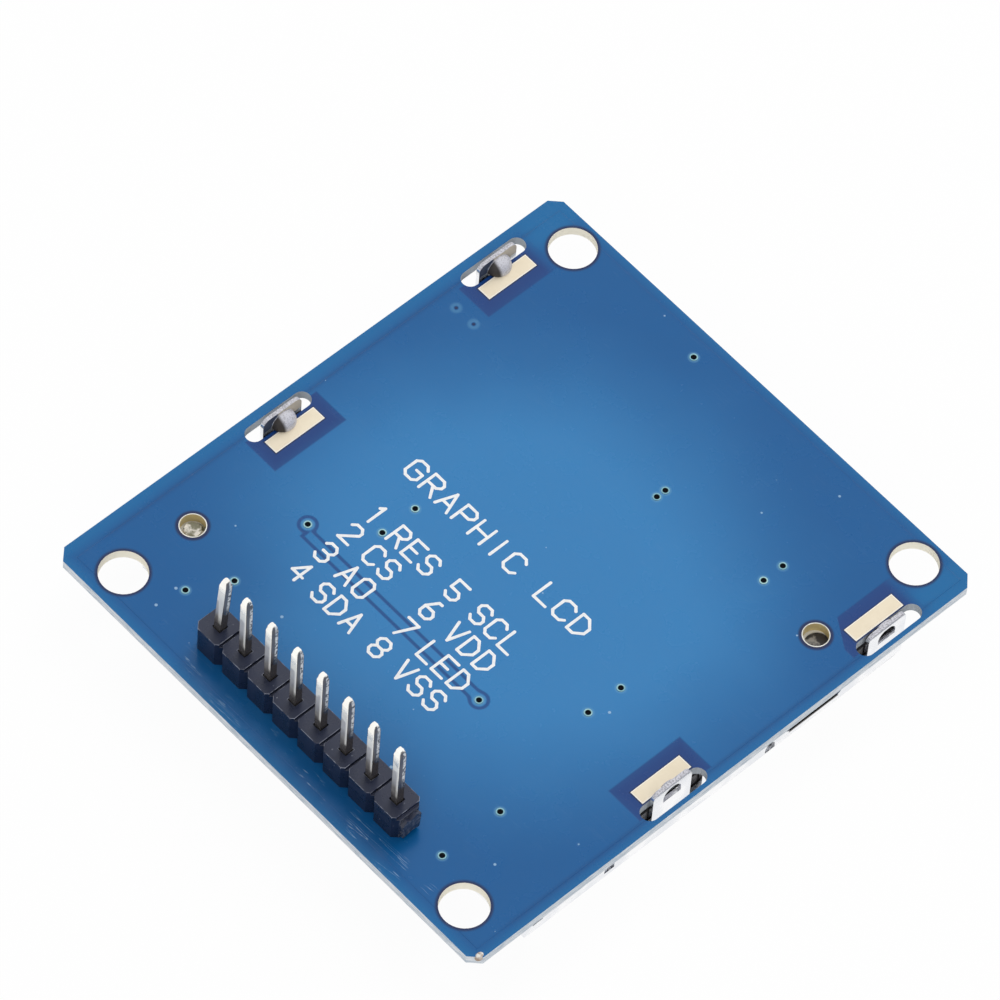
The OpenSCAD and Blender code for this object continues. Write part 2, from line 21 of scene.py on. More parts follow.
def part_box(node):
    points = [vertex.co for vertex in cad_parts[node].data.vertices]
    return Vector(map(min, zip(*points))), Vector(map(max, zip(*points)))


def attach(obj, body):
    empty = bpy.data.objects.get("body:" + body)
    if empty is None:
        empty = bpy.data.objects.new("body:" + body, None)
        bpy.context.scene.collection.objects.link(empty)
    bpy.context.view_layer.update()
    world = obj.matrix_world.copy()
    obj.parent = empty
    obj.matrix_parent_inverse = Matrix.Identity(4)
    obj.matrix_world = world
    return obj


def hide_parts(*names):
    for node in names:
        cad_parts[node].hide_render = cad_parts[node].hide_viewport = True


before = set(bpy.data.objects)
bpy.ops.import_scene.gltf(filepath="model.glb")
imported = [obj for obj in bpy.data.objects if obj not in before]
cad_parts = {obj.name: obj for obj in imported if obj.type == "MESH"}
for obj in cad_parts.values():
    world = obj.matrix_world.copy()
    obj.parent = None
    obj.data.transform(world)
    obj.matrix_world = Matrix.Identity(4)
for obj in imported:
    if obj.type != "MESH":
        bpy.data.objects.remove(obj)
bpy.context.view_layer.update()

LOG = logging.getLogger("display_module")
MM = 0.001
BODY = "root"

Rgba = tuple[float, float, float, float]
Vec3 = tuple[float, float, float]
Span = tuple[float, float]
Socket = bpy.types.NodeSocket
BMesh = bmesh.types.BMesh


@dataclass(frozen=True)
class Tone:
    """A colour as its three 8-bit display values."""

    red: int
    green: int
    blue: int

    def linear(self) -> Rgba:
        """Gives the colour in linear light, opaque."""
        steps = [value / 255 for value in (self.red, self.green, self.blue)]
        return (*[s / 12.92 if s <= 0.04045 else ((s + 0.055) / 1.055) ** 2.4 for s in steps], 1.0)


Feed = Union[Socket, float, Vec3, Rgba, Tone]


class Effect(Enum):
    """The shader node groups that several finishes share."""

    MOTTLE = "mottle"
    SPECKS = "specks"
    SCRATCHES = "scratches"
    PLATE = "plate_field"
    DISC = "disc_field"


class Graph:
    """Lays nodes into one tree and wires them."""

    FLAT: ClassVar[Span] = (0.4, 0.6)
    BREAKS: ClassVar[Span] = (0.52, 0.62)

    _shelf: ClassVar[dict[Effect, bpy.types.NodeTree]] = {}

    def __init__(self, tree: bpy.types.NodeTree) -> None:
        """Keeps the tree, and its surface shader if it has one."""
        self.tree = tree
        self.shader = tree.nodes.get("Principled BSDF")

    @cached_property
    def point(self) -> Socket:
        """The place on the object, in millimetres."""
        place = self.add("ShaderNodeTexCoord").outputs["Object"]
        return self.vector("SCALE", place, Scale=1 / MM)

    @property
    def colour(self) -> Socket:
        """What feeds the surface's colour."""
        return self.laid("Base Color")

    @colour.setter
    def colour(self, feed: Feed) -> None:
        """Feeds the surface's colour."""
        self.lay("Base Color", feed)

    def cover(self, mask: Feed, over: Feed) -> None:
        """Lays a colour over the surface's own where the mask is 1."""
        self.colour = self.blend(mask, self.colour, over)

    def lay(self, name: str, feed: Feed) -> None:
        """Feeds one of the shader's inputs."""
        self.feed(self.shader.inputs[name], feed)

    def laid(self, name: str) -> Socket:
        """Gives what feeds one of the shader's inputs."""
        return self.shader.inputs[name].links[0].from_socket

    def feed(self, socket: Socket, feed: Feed) -> None:
        """Wires a socket, or sets its constant.

        Args:
            socket: The input.
            feed: An output, or a number, vector or tone.
        """
        if isinstance(feed, bpy.types.NodeSocket):
            self.tree.links.new(feed, socket)
        else:
            socket.default_value = feed.linear() if isinstance(feed, Tone) else feed

    def add(self, kind: str, feeds: Optional[dict] = None, **settings: object) -> bpy.types.Node:
        """Adds one node.

        Args:
            kind: The node's type name.
            feeds: What goes into its inputs, by name or number.
            settings: The node's own settings.

        Returns:
            The new node.
        """
        node = self.tree.nodes.new(kind)
        for name, setting in settings.items():
            setattr(node, name, setting)
        for key, feed in (feeds or {}).items():
            self.feed(node.inputs[key], feed)
        return node

    def vector(self, operation: str, first: Feed, second: Feed = (0, 0, 0), **more: Feed) -> Socket:
        """Gives one vector operation's result."""
        node = self.add("ShaderNodeVectorMath", {0: first, 1: second, **more}, operation=operation)
        return node.outputs["Value" if operation in ("LENGTH", "DOT_PRODUCT") else "Vector"]

    def math(self, operation: str, *feeds: Feed) -> Socket:
        """Gives one operation's result on numbers."""
        return self.add("ShaderNodeMath", dict(enumerate(feeds)), operation=operation).outputs[0]

    def parts(self, vector: Feed) -> bpy.types.NodeOutputs:
        """Gives the components of a vector, by name."""
        return self.add("ShaderNodeSeparateXYZ", {0: vector}).outputs

    def axis(self, name: str) -> Socket:
        """Gives one component of the place on the object."""
        return self.parts(self.point)[name]

    def normal(self, name: str) -> Socket:
        """Gives one component of the face's own normal."""
        return self.parts(self.add("ShaderNodeNewGeometry").outputs["True Normal"])[name]

    def away(self, centre: Vec3) -> Socket:
        """Gives the way from a centre to the place on the object."""
        return self.vector("SUBTRACT", self.point, centre)

    def fold(self, centre: Vec3) -> Socket:
        """Gives the place on the object, folded over a centre into one quarter."""
        return self.vector("ABSOLUTE", self.away(centre))

    def size(self, value: Feed) -> Socket:
        """Gives a number without its sign."""
        return self.math("ABSOLUTE", value)

    def ramp(self, value: Feed, start: Feed, end: Feed, low: float = 0.0, high: float = 1.0) -> Socket:
        """Gives low before start, high after end, and a smooth rise between them.

        Args:
            value: The number that is looked up.
            start: Where the rise starts.
            end: Where it ends, also below start.
            low: The result before it.
            high: The result after it.

        Returns:
            The risen value.
        """
        feeds = {"Value": value, "From Min": start, "From Max": end, "To Min": low, "To Max": high}
        return self.add("ShaderNodeMapRange", feeds, interpolation_type="SMOOTHSTEP").outputs[0]

    def inside(self, distance: Socket, blur: float = 0.03) -> Socket:
        """Gives 1 where a field's distance is below zero."""
        return self.ramp(distance, blur, -blur)

    def either(self, *masks: Feed) -> Socket:
        """Gives the largest of several masks."""
        return reduce(partial(self.math, "MAXIMUM"), masks)

    def both(self, *masks: Feed) -> Socket:
        """Gives the product of several masks."""
        return reduce(partial(self.math, "MULTIPLY"), masks)

    def rest(self, mask: Feed) -> Socket:
        """Gives what a mask leaves out."""
        return self.math("SUBTRACT", 1.0, mask)

    def blend(self, mask: Feed, under: Feed, over: Feed) -> Socket:
        """Lays one colour over another where the mask is 1."""
        return self.add("ShaderNodeMix", {0: mask, 6: under, 7: over}, data_type="RGBA").outputs[2]

    def noise(self, scale: Feed, detail: Feed = 2.0, point: Optional[Socket] = None) -> Socket:
        """Gives a noise value with that many cells to the millimetre."""
        feeds = {"Vector": self.point if point is None else point, "Scale": scale, "Detail": detail}
        return self.add("ShaderNodeTexNoise", feeds).outputs[0]

    def flat_face(self) -> Socket:
        """Gives 1 on faces that look along Z, and 0 on walls."""
        return self.ramp(self.size(self.normal("Z")), *self.FLAT)

    def bump(self, height: Socket, depth: float) -> None:
        """Raises the surface by a height from 0 to 1, over any bump it has.

        Args:
            height: The height value.
            depth: How far 1 stands up, in millimetres.
        """
        feeds = {"Strength": 1.0, "Distance": depth * MM, "Height": height}
        if self.shader.inputs["Normal"].is_linked:
            feeds["Normal"] = self.laid("Normal")
        self.lay("Normal", self.add("ShaderNodeBump", feeds).outputs[0])

    def mottle(self, scale: float, detail: float, low: float, high: float) -> Socket:
        """Gives soft blotches: noise that rises from low to high."""
        return self.effect(Effect.MOTTLE, scale=scale, detail=detail, low=low, high=high)

    def plate(self, centre: Vec3, half: Vec3, **at: Socket) -> Socket:
        """Gives the distance to a rectangle's edge in plan, below zero within it."""
        return self.effect(Effect.PLATE, centre=centre, half=half, **at)

    def disc(self, centre: Vec3, radius: float, **at: Socket) -> Socket:
        """Gives the distance to a circle in plan, below zero within it."""
        return self.effect(Effect.DISC, centre=centre, radius=radius, **at)

    def effect(self, effect: Effect, **feeds: Feed) -> Socket:
        """Places a shared group with its own values.

        Args:
            effect: Which group.
            feeds: Its inputs by name, and the point if it isn't the place on the object.

        Returns:
            The group's mask or value.
        """
        feeds.setdefault("point", self.point)
        return self.add("ShaderNodeGroup", feeds, node_tree=self._group(effect)).outputs[0]

    @classmethod
    def _group(cls, effect: Effect) -> bpy.types.NodeTree:
        """Gives a shared group, built the first time it is asked for.

        Args:
            effect: Which group.

        Returns:
            The group's tree.
        """
        if effect not in cls._shelf:
            layers: dict[Effect, Callable[[Graph], None]] = {
                Effect.MOTTLE: cls._lay_mottle,
                Effect.SPECKS: cls._lay_specks,
                Effect.SCRATCHES: cls._lay_scratches,
                Effect.PLATE: cls._lay_plate,
                Effect.DISC: cls._lay_disc,
            }
            cls._shelf[effect] = bpy.data.node_groups.new(effect.value, "ShaderNodeTree")
            layers[effect](cls(cls._shelf[effect]))
        return cls._shelf[effect]

    def _inlets(self, *names: str, vectors: tuple[str, ...] = ("point",)) -> dict[str, Socket]:
        """Adds a group's inputs.

        Args:
            names: The inputs' names.
            vectors: Those of them that are vectors.

        Returns:
            What the group is given, by name.
        """
        for name in names:
            kind = "NodeSocketVector" if name in vectors else "NodeSocketFloat"
            self.tree.interface.new_socket(name=name, in_out="INPUT", socket_type=kind)
        given = self.tree.nodes.new("NodeGroupInput")
        return {name: given.outputs[name] for name in names}

    def _outlet(self, name: str, feed: Socket) -> None:
        """Adds a group's one output."""
        self.tree.interface.new_socket(name=name, in_out="OUTPUT", socket_type="NodeSocketFloat")
        self.tree.links.new(feed, self.tree.nodes.new("NodeGroupOutput").inputs[name])

    def _lay_mottle(self) -> None:
        """Soft blotches: noise that rises from low to high."""
        given = self._inlets("point", "scale", "detail", "low", "high")
        cloud = self.noise(given["scale"], given["detail"], given["point"])
        self._outlet("mask", self.ramp(cloud, given["low"], given["high"]))

    def _lay_specks(self) -> None:
        """Scattered dots: the cores of a share of random cells."""
        given = self._inlets("point", "scale", "size", "share")
        cells = self.add("ShaderNodeTexVoronoi", {"Vector": given["point"], "Scale": given["scale"]})
        draw = self.add("ShaderNodeSeparateColor", {0: cells.outputs["Color"]}).outputs[0]
        core = self.math("LESS_THAN", cells.outputs["Distance"], given["size"])
        self._outlet("mask", self.both(core, self.math("LESS_THAN", draw, given["share"])))

    def _lay_scratches(self) -> None:
        """Fine broken lines that run along one direction."""
        given = self._inlets("point", "turn", "along", "across", "width")
        feeds = {"Vector": given["point"], "Angle": given["turn"]}
        turned = self.parts(self.add("ShaderNodeVectorRotate", feeds, rotation_type="Z_AXIS").outputs[0])
        ways = ("along", "across", "across")
        stretched = {place: self.both(turned[place], given[way]) for place, way in enumerate(ways)}
        drawn = self.add("ShaderNodeCombineXYZ", stretched).outputs[0]
        off = self.size(self.math("SUBTRACT", self.noise(1.0, 3.0, drawn), 0.5))
        rise = self.add("ShaderNodeMapRange", {"Value": off, "From Min": given["width"], "From Max": 0.0})
        breaks = self.ramp(self.noise(0.35, 2.0, given["point"]), *self.BREAKS)
        self._outlet("mask", self.both(rise.outputs[0], breaks))

    def _lay_plate(self) -> None:
        """Distance to a rectangle's edge in plan, below zero within it."""
        given = self._inlets("point", "centre", "half", vectors=("point", "centre", "half"))
        away = self.vector("ABSOLUTE", self.vector("SUBTRACT", given["point"], given["centre"]))
        over = self.parts(self.vector("SUBTRACT", away, given["half"]))
        self._outlet("distance", self.either(over["X"], over["Y"]))

    def _lay_disc(self) -> None:
        """Distance to a circle in plan, below zero within it."""
        given = self._inlets("point", "centre", "radius", vectors=("point", "centre"))
        away = self.vector("MULTIPLY", self.vector("SUBTRACT", given["point"], given["centre"]), (1, 1, 0))
        self._outlet("distance", self.math("SUBTRACT", self.vector("LENGTH", away), given["radius"]))


@dataclass(frozen=True)
class Finish:
    """Two tones in soft blotches, with a gloss that follows them and a fine grain."""

    name: str
    tone: Tone
    shade: Tone
    grain: float = 0.9
    gloss: Span = (0.45, 0.6)
    metallic: float = 0.0
    fine: float = 9.0
    relief: float = 0.004
    coat: float = 0.0
    shine: float = 0.5

    _made: ClassVar[dict[str, bpy.types.Material]] = {}

    def material(self) -> bpy.types.Material:
        """Gives the finish's material, made once.

        Returns:
            The material.
        """
        if self.name not in self._made:
            made = bpy.data.materials.new(self.name)
            made.use_nodes = True
            graph = Graph(made.node_tree)
            graph.lay("Metallic", self.metallic)
            graph.lay("Coat Weight", self.coat)
            graph.lay("Specular IOR Level", self.shine)
            self.paint(graph)
            self._made[self.name] = made
        return self._made[self.name]

    def paint(self, graph: Graph) -> None:
        """Lays colour, gloss and grain.

        Args:
            graph: The material's tree.
        """
        cloud = graph.mottle(self.grain, 3.0, 0.35, 0.65)
        graph.colour = graph.blend(cloud, self.shade, self.tone)
        graph.lay("Roughness", graph.ramp(cloud, 0.0, 1.0, *self.gloss))
        graph.bump(graph.noise(self.fine), self.relief)


@dataclass(frozen=True)
class BoardLayout:
    """Where holes, copper and pads lie on the board, in millimetres in plan."""

    middle: Vec3 = (0.2, 0.15, 0.0)
    back: float = 5.0
    hole: Vec3 = (17.2, 20.65, 0.0)
    hole_r: float = 1.75
    bore_r: float = 1.95
    tabs: Vec3 = (0.2, 5.825, 0.0)
    tab_half: float = 9.975
    tab_in: float = 19.5
    slot: Vec3 = (19.925, 9.975, 0.0)
    slot_half: Vec3 = (0.75, 2.95, 0.0)
    pads: Vec3 = (0.3, 5.825, 0.0)
    pad: Vec3 = (18.45, 9.85, 0.0)
    pad_half: Vec3 = (0.6, 2.225, 0.0)
    pad_t: float = 0.05
    bare: Vec3 = (18.35, 9.85, 0.0)
    bare_half: Vec3 = (1.55, 3.25, 0.0)
    slant: Vec3 = (17.1, 13.83, 0.0)
    slant_way: Vec3 = (0.535, 0.844, 0.0)
    slant_from: Span = (22.0, 23.0)
    fade: Span = (17.9, 18.9)
    # Middle and reach of the mask's painted sheen, which is lighter in the middle of the board.
    sheen_middle: Vec3 = (1.0, -0.6, 0.0)
    sheen_span: Span = (10.0, 24.0)
    # Where the painted highlight lies near the board's upper corners.
    highlight_x: Span = (18.0, 19.3)
    highlight_y: Span = (18.0, 19.6)
    pour: Vec3 = (0.22, 0.1, 0.0)
    pour_half: Vec3 = (20.18, 22.18, 0.0)
    pour_line: Span = (0.34, 0.04)
    pour_ends: Span = (18.5, 20.5)
    pegs: tuple[Vec3, ...] = ((-16.8, -14.45, 0.0), (17.2, 11.75, 0.0))
    peg_r: float = 1.2
    track_ends: tuple[Vec3, ...] = ((-11.8, -8.45, 0.0), (6.2, -9.05, 0.0))
    track_end_r: float = 0.63
    track: Vec3 = (-2.575, -8.97, 0.0)
    track_half: Vec3 = (8.775, 0.4, 0.0)
    track_blend: float = 0.35
    track_line: Span = (0.18, 0.06)
    via_r: float = 0.31
    covered_vias: tuple[Vec3, ...] = ((-18.53, 11.23, 0.0), (-16.73, 11.23, 0.0))
    covered_r: float = 0.3
    scuffs: Vec3 = (2.0, -22.0, 0.0)
    scuffs_half: Vec3 = (14.0, 0.9, 0.0)
    diagonal: Vec3 = (1.0, 1.0, 0.0)


PLAN = BoardLayout()


@dataclass(frozen=True)
class MaskFinish(Finish):
    """Blue solder mask over copper, with the laminate bare on every cut wall."""

    bare_tone: Tone = Tone(14, 60, 124)
    line_tone: Tone = Tone(2, 52, 108)
    ring_tone: Tone = Tone(20, 40, 84)
    rim_and_highlight_tone: Tone = Tone(4, 108, 166)
    land_tone: Tone = Tone(104, 164, 200)
    speck_tone: Tone = Tone(168, 200, 226)
    wall_tone: Tone = Tone(230, 234, 239)
    wall_shade: Tone = Tone(186, 199, 211)
    slot_tone: Tone = Tone(184, 190, 196)
    bore_tone: Tone = Tone(255, 250, 234)
    layers: Vec3 = (1.2, 1.2, 14.0)
    copper_t: float = 0.02
    ripple: float = 0.004

    def paint(self, graph: Graph) -> None:
        """Lays a painted sheen, copper, bare places, wear, cut walls and a painted highlight near the upper
        corners.

        Args:
            graph: The material's tree.
        """
        face = graph.flat_face()
        copper, line = self._copper(graph)
        # Painted sheen: the mask is laid lighter round the middle of the board and darker towards its
        # edges.
        cloud = graph.ramp(graph.noise(0.06, 3.0), 0.3, 0.7, -1.5, 1.5)
        sheen_reach = graph.math("ADD", graph.disc(PLAN.sheen_middle, 0.0), cloud)
        graph.colour = graph.blend(graph.ramp(sheen_reach, *PLAN.sheen_span), self.tone, self.shade)
        rim = graph.plate(PLAN.pour, PLAN.pour_half)
        # The rim outside the pour has its own paler tone. Near the upper corners the same tone is a painted
        # highlight.
        corner = graph.both(graph.ramp(graph.parts(graph.fold(PLAN.middle))["X"], *PLAN.highlight_x, 0.0, 0.7),
                            graph.ramp(graph.axis("Y"), *PLAN.highlight_y))
        graph.cover(graph.either(graph.ramp(rim, 0.0, 0.9, 0.0, 0.6), corner), self.rim_and_highlight_tone)
        graph.cover(graph.both(graph.rest(copper), graph.inside(rim)), self.bare_tone)
        graph.cover(line, self.line_tone)
        land, ring = self._rounds(graph)
        graph.cover(ring, self.ring_tone)
        graph.cover(land, self.land_tone)
        graph.cover(self._wear(graph), self.speck_tone)
        graph.cover(graph.rest(face), self._walls(graph))
        satin = graph.mottle(0.5, 4.0, 0.3, 0.7)
        dull = graph.ramp(face, 1.0, 0.0, 0.0, 0.75)
        graph.lay("Roughness", graph.either(dull, graph.ramp(satin, 0.0, 1.0, *self.gloss)))
        graph.bump(graph.both(copper, face), self.copper_t)
        graph.bump(graph.noise(0.8, 3.0), self.ripple)

    def _copper(self, graph: Graph) -> tuple[Socket, Socket]:
        """Finds the raised copper and the dark line along its outer edge.

        Args:
            graph: The material's tree.

        Returns:
            The copper mask and the line's mask.
        """
        side = graph.fold(PLAN.pads)
        bare = graph.inside(graph.plate(PLAN.bare, PLAN.bare_half, point=side), 0.08)
        below = graph.inside(graph.vector("DOT_PRODUCT", graph.away(PLAN.slant), PLAN.slant_way))
        upper = graph.ramp(graph.vector("DOT_PRODUCT", graph.point, PLAN.diagonal), *PLAN.slant_from)
        near = graph.ramp(graph.plate(PLAN.pad, PLAN.pad_half, point=side), 0.3, 1.5, 1.0, 0.75)
        fade = graph.ramp(graph.axis("Y"), *PLAN.fade, 1.0, 0.2)
        bare = graph.both(bare, graph.rest(graph.both(below, upper)), near, fade)
        track = graph.plate(PLAN.track, PLAN.track_half)
        for place in PLAN.track_ends:
            track = graph.math("SMOOTH_MIN", track, graph.disc(place, PLAN.track_end_r), PLAN.track_blend)
        traced = graph.ramp(graph.size(track), *PLAN.track_line, 0.0, 0.8)
        pour = graph.plate(PLAN.pour, PLAN.pour_half)
        beside = graph.ramp(graph.size(graph.axis("Y")), *PLAN.pour_ends, 0.26, 0.06)
        line = graph.both(graph.ramp(graph.size(pour), *PLAN.pour_line), beside)
        return graph.both(graph.rest(graph.either(bare, traced)), graph.inside(pour)), line

    def _rounds(self, graph: Graph) -> tuple[Socket, Socket]:
        """Finds the pale lands round the vias, and the dark seams of every other opening.

        Args:
            graph: The material's tree.

        Returns:
            The land mask and the seam mask.
        """
        covered = [graph.disc(place, PLAN.covered_r) for place in PLAN.covered_vias]
        lands = [graph.both(graph.ramp(ring, 0.25, 0.0, 0.0, 0.3), graph.ramp(ring, -0.16, -0.08))
                 for ring in covered]
        lands += [graph.ramp(graph.disc(tuple(place / MM), PLAN.via_r), 0.2, 0.0, 0.0, 0.5)
                  for place in via_places()]
        seams = [graph.ramp(ring, -0.12, -0.22) for ring in covered]
        seams += [graph.ramp(graph.disc(place, PLAN.peg_r), 0.12, -0.1) for place in PLAN.pegs]
        hole = graph.disc(PLAN.hole, PLAN.hole_r, point=graph.fold(PLAN.middle))
        pads = graph.plate(PLAN.pad, PLAN.pad_half, point=graph.fold(PLAN.pads))
        seams += [graph.ramp(hole, 0.32, 0.06), graph.ramp(pads, 0.14, 0.02)]
        return graph.either(*lands), graph.either(*seams)

    def _wear(self, graph: Graph) -> Socket:
        """Finds dust specks all over and fine scratches along the header's edge.

        Args:
            graph: The material's tree.

        Returns:
            The mask of both.
        """
        dust = graph.effect(Effect.SPECKS, scale=0.8, size=0.09, share=0.15)
        lines = graph.effect(Effect.SCRATCHES, turn=-0.04, along=0.16, across=2.4, width=0.015)
        strip = graph.ramp(graph.plate(PLAN.scuffs, PLAN.scuffs_half), 0.4, -0.4, 0.02, 0.6)
        return graph.either(graph.both(dust, 0.7), graph.both(lines, strip))

    def _walls(self, graph: Graph) -> Socket:
        """Finds the laminate's colour: pale fibre, creamy in the mounting holes, grey in the slots.

        Args:
            graph: The material's tree.

        Returns:
            The colour of the cut walls.
        """
        fibre = graph.noise(1.0, 4.0, graph.vector("MULTIPLY", graph.point, self.layers))
        wall = graph.blend(graph.ramp(fibre, 0.35, 0.62), self.wall_shade, self.wall_tone)
        bore = graph.disc(PLAN.hole, PLAN.bore_r, point=graph.fold(PLAN.middle))
        slot = graph.plate(PLAN.slot, PLAN.slot_half, point=graph.fold(PLAN.tabs))
        wall = graph.blend(graph.inside(slot), wall, self.slot_tone)
        return graph.blend(graph.inside(bore), wall, self.bore_tone)


@dataclass(frozen=True)
class RimFinish(Finish):
    """Plated metal whose top faces differ from its walls."""

    wall: Tone = Tone(120, 104, 48)

    def paint(self, graph: Graph) -> None:
        """Lays the plating, then the walls."""
        super().paint(graph)
        graph.cover(graph.rest(graph.flat_face()), self.wall)


@dataclass(frozen=True)
class PadFinish(Finish):
    """Dull tinned pads with a bright rim."""

    rim: Tone = Tone(252, 248, 238)
    rim_at: Span = (-0.1, -0.03)

    def paint(self, graph: Graph) -> None:
        """Lays the pad and its rim.

        Args:
            graph: The material's tree.
        """
        super().paint(graph)
        edge = graph.plate(PLAN.pad, PLAN.pad_half, point=graph.fold(PLAN.pads))
        graph.cover(graph.ramp(edge, *self.rim_at), self.rim)


@dataclass(frozen=True)
class SteelFinish(Finish):
    """Bright pressed sheet steel with fine drawing marks, dull where a dome is pressed out, with painted
    shade and a painted reflection on its domes, tabs and windows.
    """

    dome_r: float = 1.1
    dull: Tone = Tone(214, 214, 222)
    # Dark tone of the rubbed cut edges, and the painted shade of the sills and of the domes' far sides.
    deep: Tone = Tone(58, 54, 52)
    edge: Tone = Tone(216, 216, 224)
    # Painted shade of the tabs' inner faces, and the painted reflection of the blue board on their far
    # side.
    inner: Tone = Tone(214, 204, 186)
    board_reflection: Tone = Tone(62, 74, 98)
    front: Tone = Tone(212, 214, 218)
    window: Vec3 = (0.0, 9.3, 0.0)
    window_half: Vec3 = (30.0, 2.3, 0.0)
    # Heights of the painted shade along each window's sill.
    sill: Span = (0.86, 0.9)
    sill_top: Span = (1.08, 1.06)
    above: Span = (5.0, 5.1)
    band: Span = (5.93, 6.05)
    loose_from: Span = (25.0, 26.0)
    loose_drop: float = 0.85
    mark_depth: float = 0.002

    def paint(self, graph: Graph) -> None:
        """Lays the sheet and its marks, with its painted shade and painted reflection.

        Args:
            graph: The material's tree.
        """
        super().paint(graph)
        marks = graph.effect(Effect.SCRATCHES, turn=1.2, along=0.4, across=7.0, width=0.05)
        graph.cover(graph.both(marks, 0.3), self.shade)
        below = graph.ramp(graph.normal("Z"), -0.5, -0.7, 0.0, 0.8)
        graph.cover(below, graph.blend(graph.both(marks, 0.5), self.front, self.edge))
        # Painted shade: a dark band along each window's sill makes the opening look taller.
        level = graph.axis("Z")
        span = graph.inside(graph.plate(self.window, self.window_half), 0.05)
        sill_shade = graph.both(graph.ramp(level, *self.sill), graph.ramp(level, *self.sill_top), span)
        graph.cover(sill_shade, self.deep)
        rough = graph.noise(9.0, 3.0)
        worn = graph.blend(graph.ramp(rough, 0.35, 0.7, 0.0, 0.5), self.edge, self.deep)
        grey = graph.blend(graph.ramp(rough, 0.45, 0.75, 0.0, 0.4), self.dull, self.deep)
        inner, cut = self._tabs(graph)
        dome, lee = self._domes(graph)
        # Painted shade on the tabs' inner faces, with a painted reflection of the board on their far side.
        graph.cover(inner, graph.blend(lee, self.inner, self.board_reflection))
        graph.cover(cut, worn)
        # Painted shade: each dome is laid dark on its far side.
        graph.cover(dome, graph.blend(lee, grey, self.deep))
        rubbed = graph.either(dome, cut, inner)
        graph.lay("Roughness", graph.either(graph.laid("Roughness"), graph.both(rubbed, 0.5)))
        graph.lay("Metallic", graph.ramp(rubbed, 0.0, 1.0, self.metallic, 0.25))
        graph.bump(marks, self.mark_depth)

    def _tabs(self, graph: Graph) -> tuple[Socket, Socket]:
        """Finds the tabs' inner faces, and their cut edges with the rubbed band below.

        Args:
            graph: The material's tree.

        Returns:
            The inner faces' mask and the cut edges' mask.
        """
        outward = graph.both(graph.normal("X"), graph.math("SIGN", graph.axis("X")))
        corner = graph.vector("DOT_PRODUCT", graph.point, PLAN.diagonal)
        loose = graph.ramp(corner, *self.loose_from, 0.0, self.loose_drop)
        height = graph.math("ADD", graph.axis("Z"), loose)
        above = graph.ramp(height, *self.above)
        band = graph.both(graph.ramp(height, *self.band), graph.ramp(outward, 0.4, 0.6))
        cut = graph.either(graph.both(above, graph.flat_face()), band)
        return graph.both(above, graph.ramp(outward, -0.4, -0.6)), cut

    def _domes(self, graph: Graph) -> tuple[Socket, Socket]:
        """Finds the pressed domes and the side of each that turns away from the light, which gets painted
        shade.

        Args:
            graph: The material's tree.

        Returns:
            The domes' mask and the mask of their far sides.
        """
        spot = graph.parts(graph.away(PLAN.tabs))
        rows = graph.math("ADD", spot["Y"], PLAN.tab_half)
        along = graph.math("WRAP", rows, PLAN.tab_half, -PLAN.tab_half)
        across = graph.math("SUBTRACT", graph.size(spot["X"]), PLAN.tab_in)
        up = graph.math("SUBTRACT", spot["Z"], PLAN.back + PLAN.pad_t)
        reach = graph.add("ShaderNodeCombineXYZ", {0: across, 1: along, 2: up}).outputs[0]
        ball = graph.inside(graph.math("SUBTRACT", graph.vector("LENGTH", reach), self.dome_r))
        return graph.both(ball, graph.ramp(across, 0.0, -0.08)), graph.ramp(along, -0.28, -0.55)


@dataclass(frozen=True)
class GuideFinish(Finish):
    """Milky plastic with painted shade on its outer sides and under the empty peg hole, and painted light
    and shade in blotches on its peg.
    """

    # Tones of the painted shade and of its pale blotches.
    dark: Tone = Tone(44, 42, 44)
    pale: Tone = Tone(150, 148, 146)
    peg_shade: Tone = Tone(122, 120, 100)
    peg_lit: Tone = Tone(236, 232, 224)
    peg_r: float = 0.85
    well_r: float = 1.3
    side: Span = (18.95, 19.05)

    def paint(self, graph: Graph) -> None:
        """Lays the plastic, the painted light and shade on its peg, and its painted shade.

        Args:
            graph: The material's tree.
        """
        super().paint(graph)
        peg, well = PLAN.pegs
        # Painted light and shade on the peg's top, laid in blotches.
        mottled = graph.blend(graph.mottle(1.9, 3.0, 0.42, 0.58), self.peg_shade, self.peg_lit)
        graph.cover(graph.inside(graph.disc(peg, self.peg_r)), mottled)
        # Painted shade: the outer sides and the place under the empty peg hole are laid dark, with pale
        # blotches under the hole.
        under = graph.inside(graph.disc(well, self.well_r), 0.2)
        outer = graph.ramp(graph.parts(graph.fold(PLAN.middle))["X"], *self.side)
        patch = graph.both(under, graph.mottle(1.4, 3.0, 0.48, 0.6))
        graph.cover(graph.either(under, outer), graph.blend(patch, self.dark, self.pale))


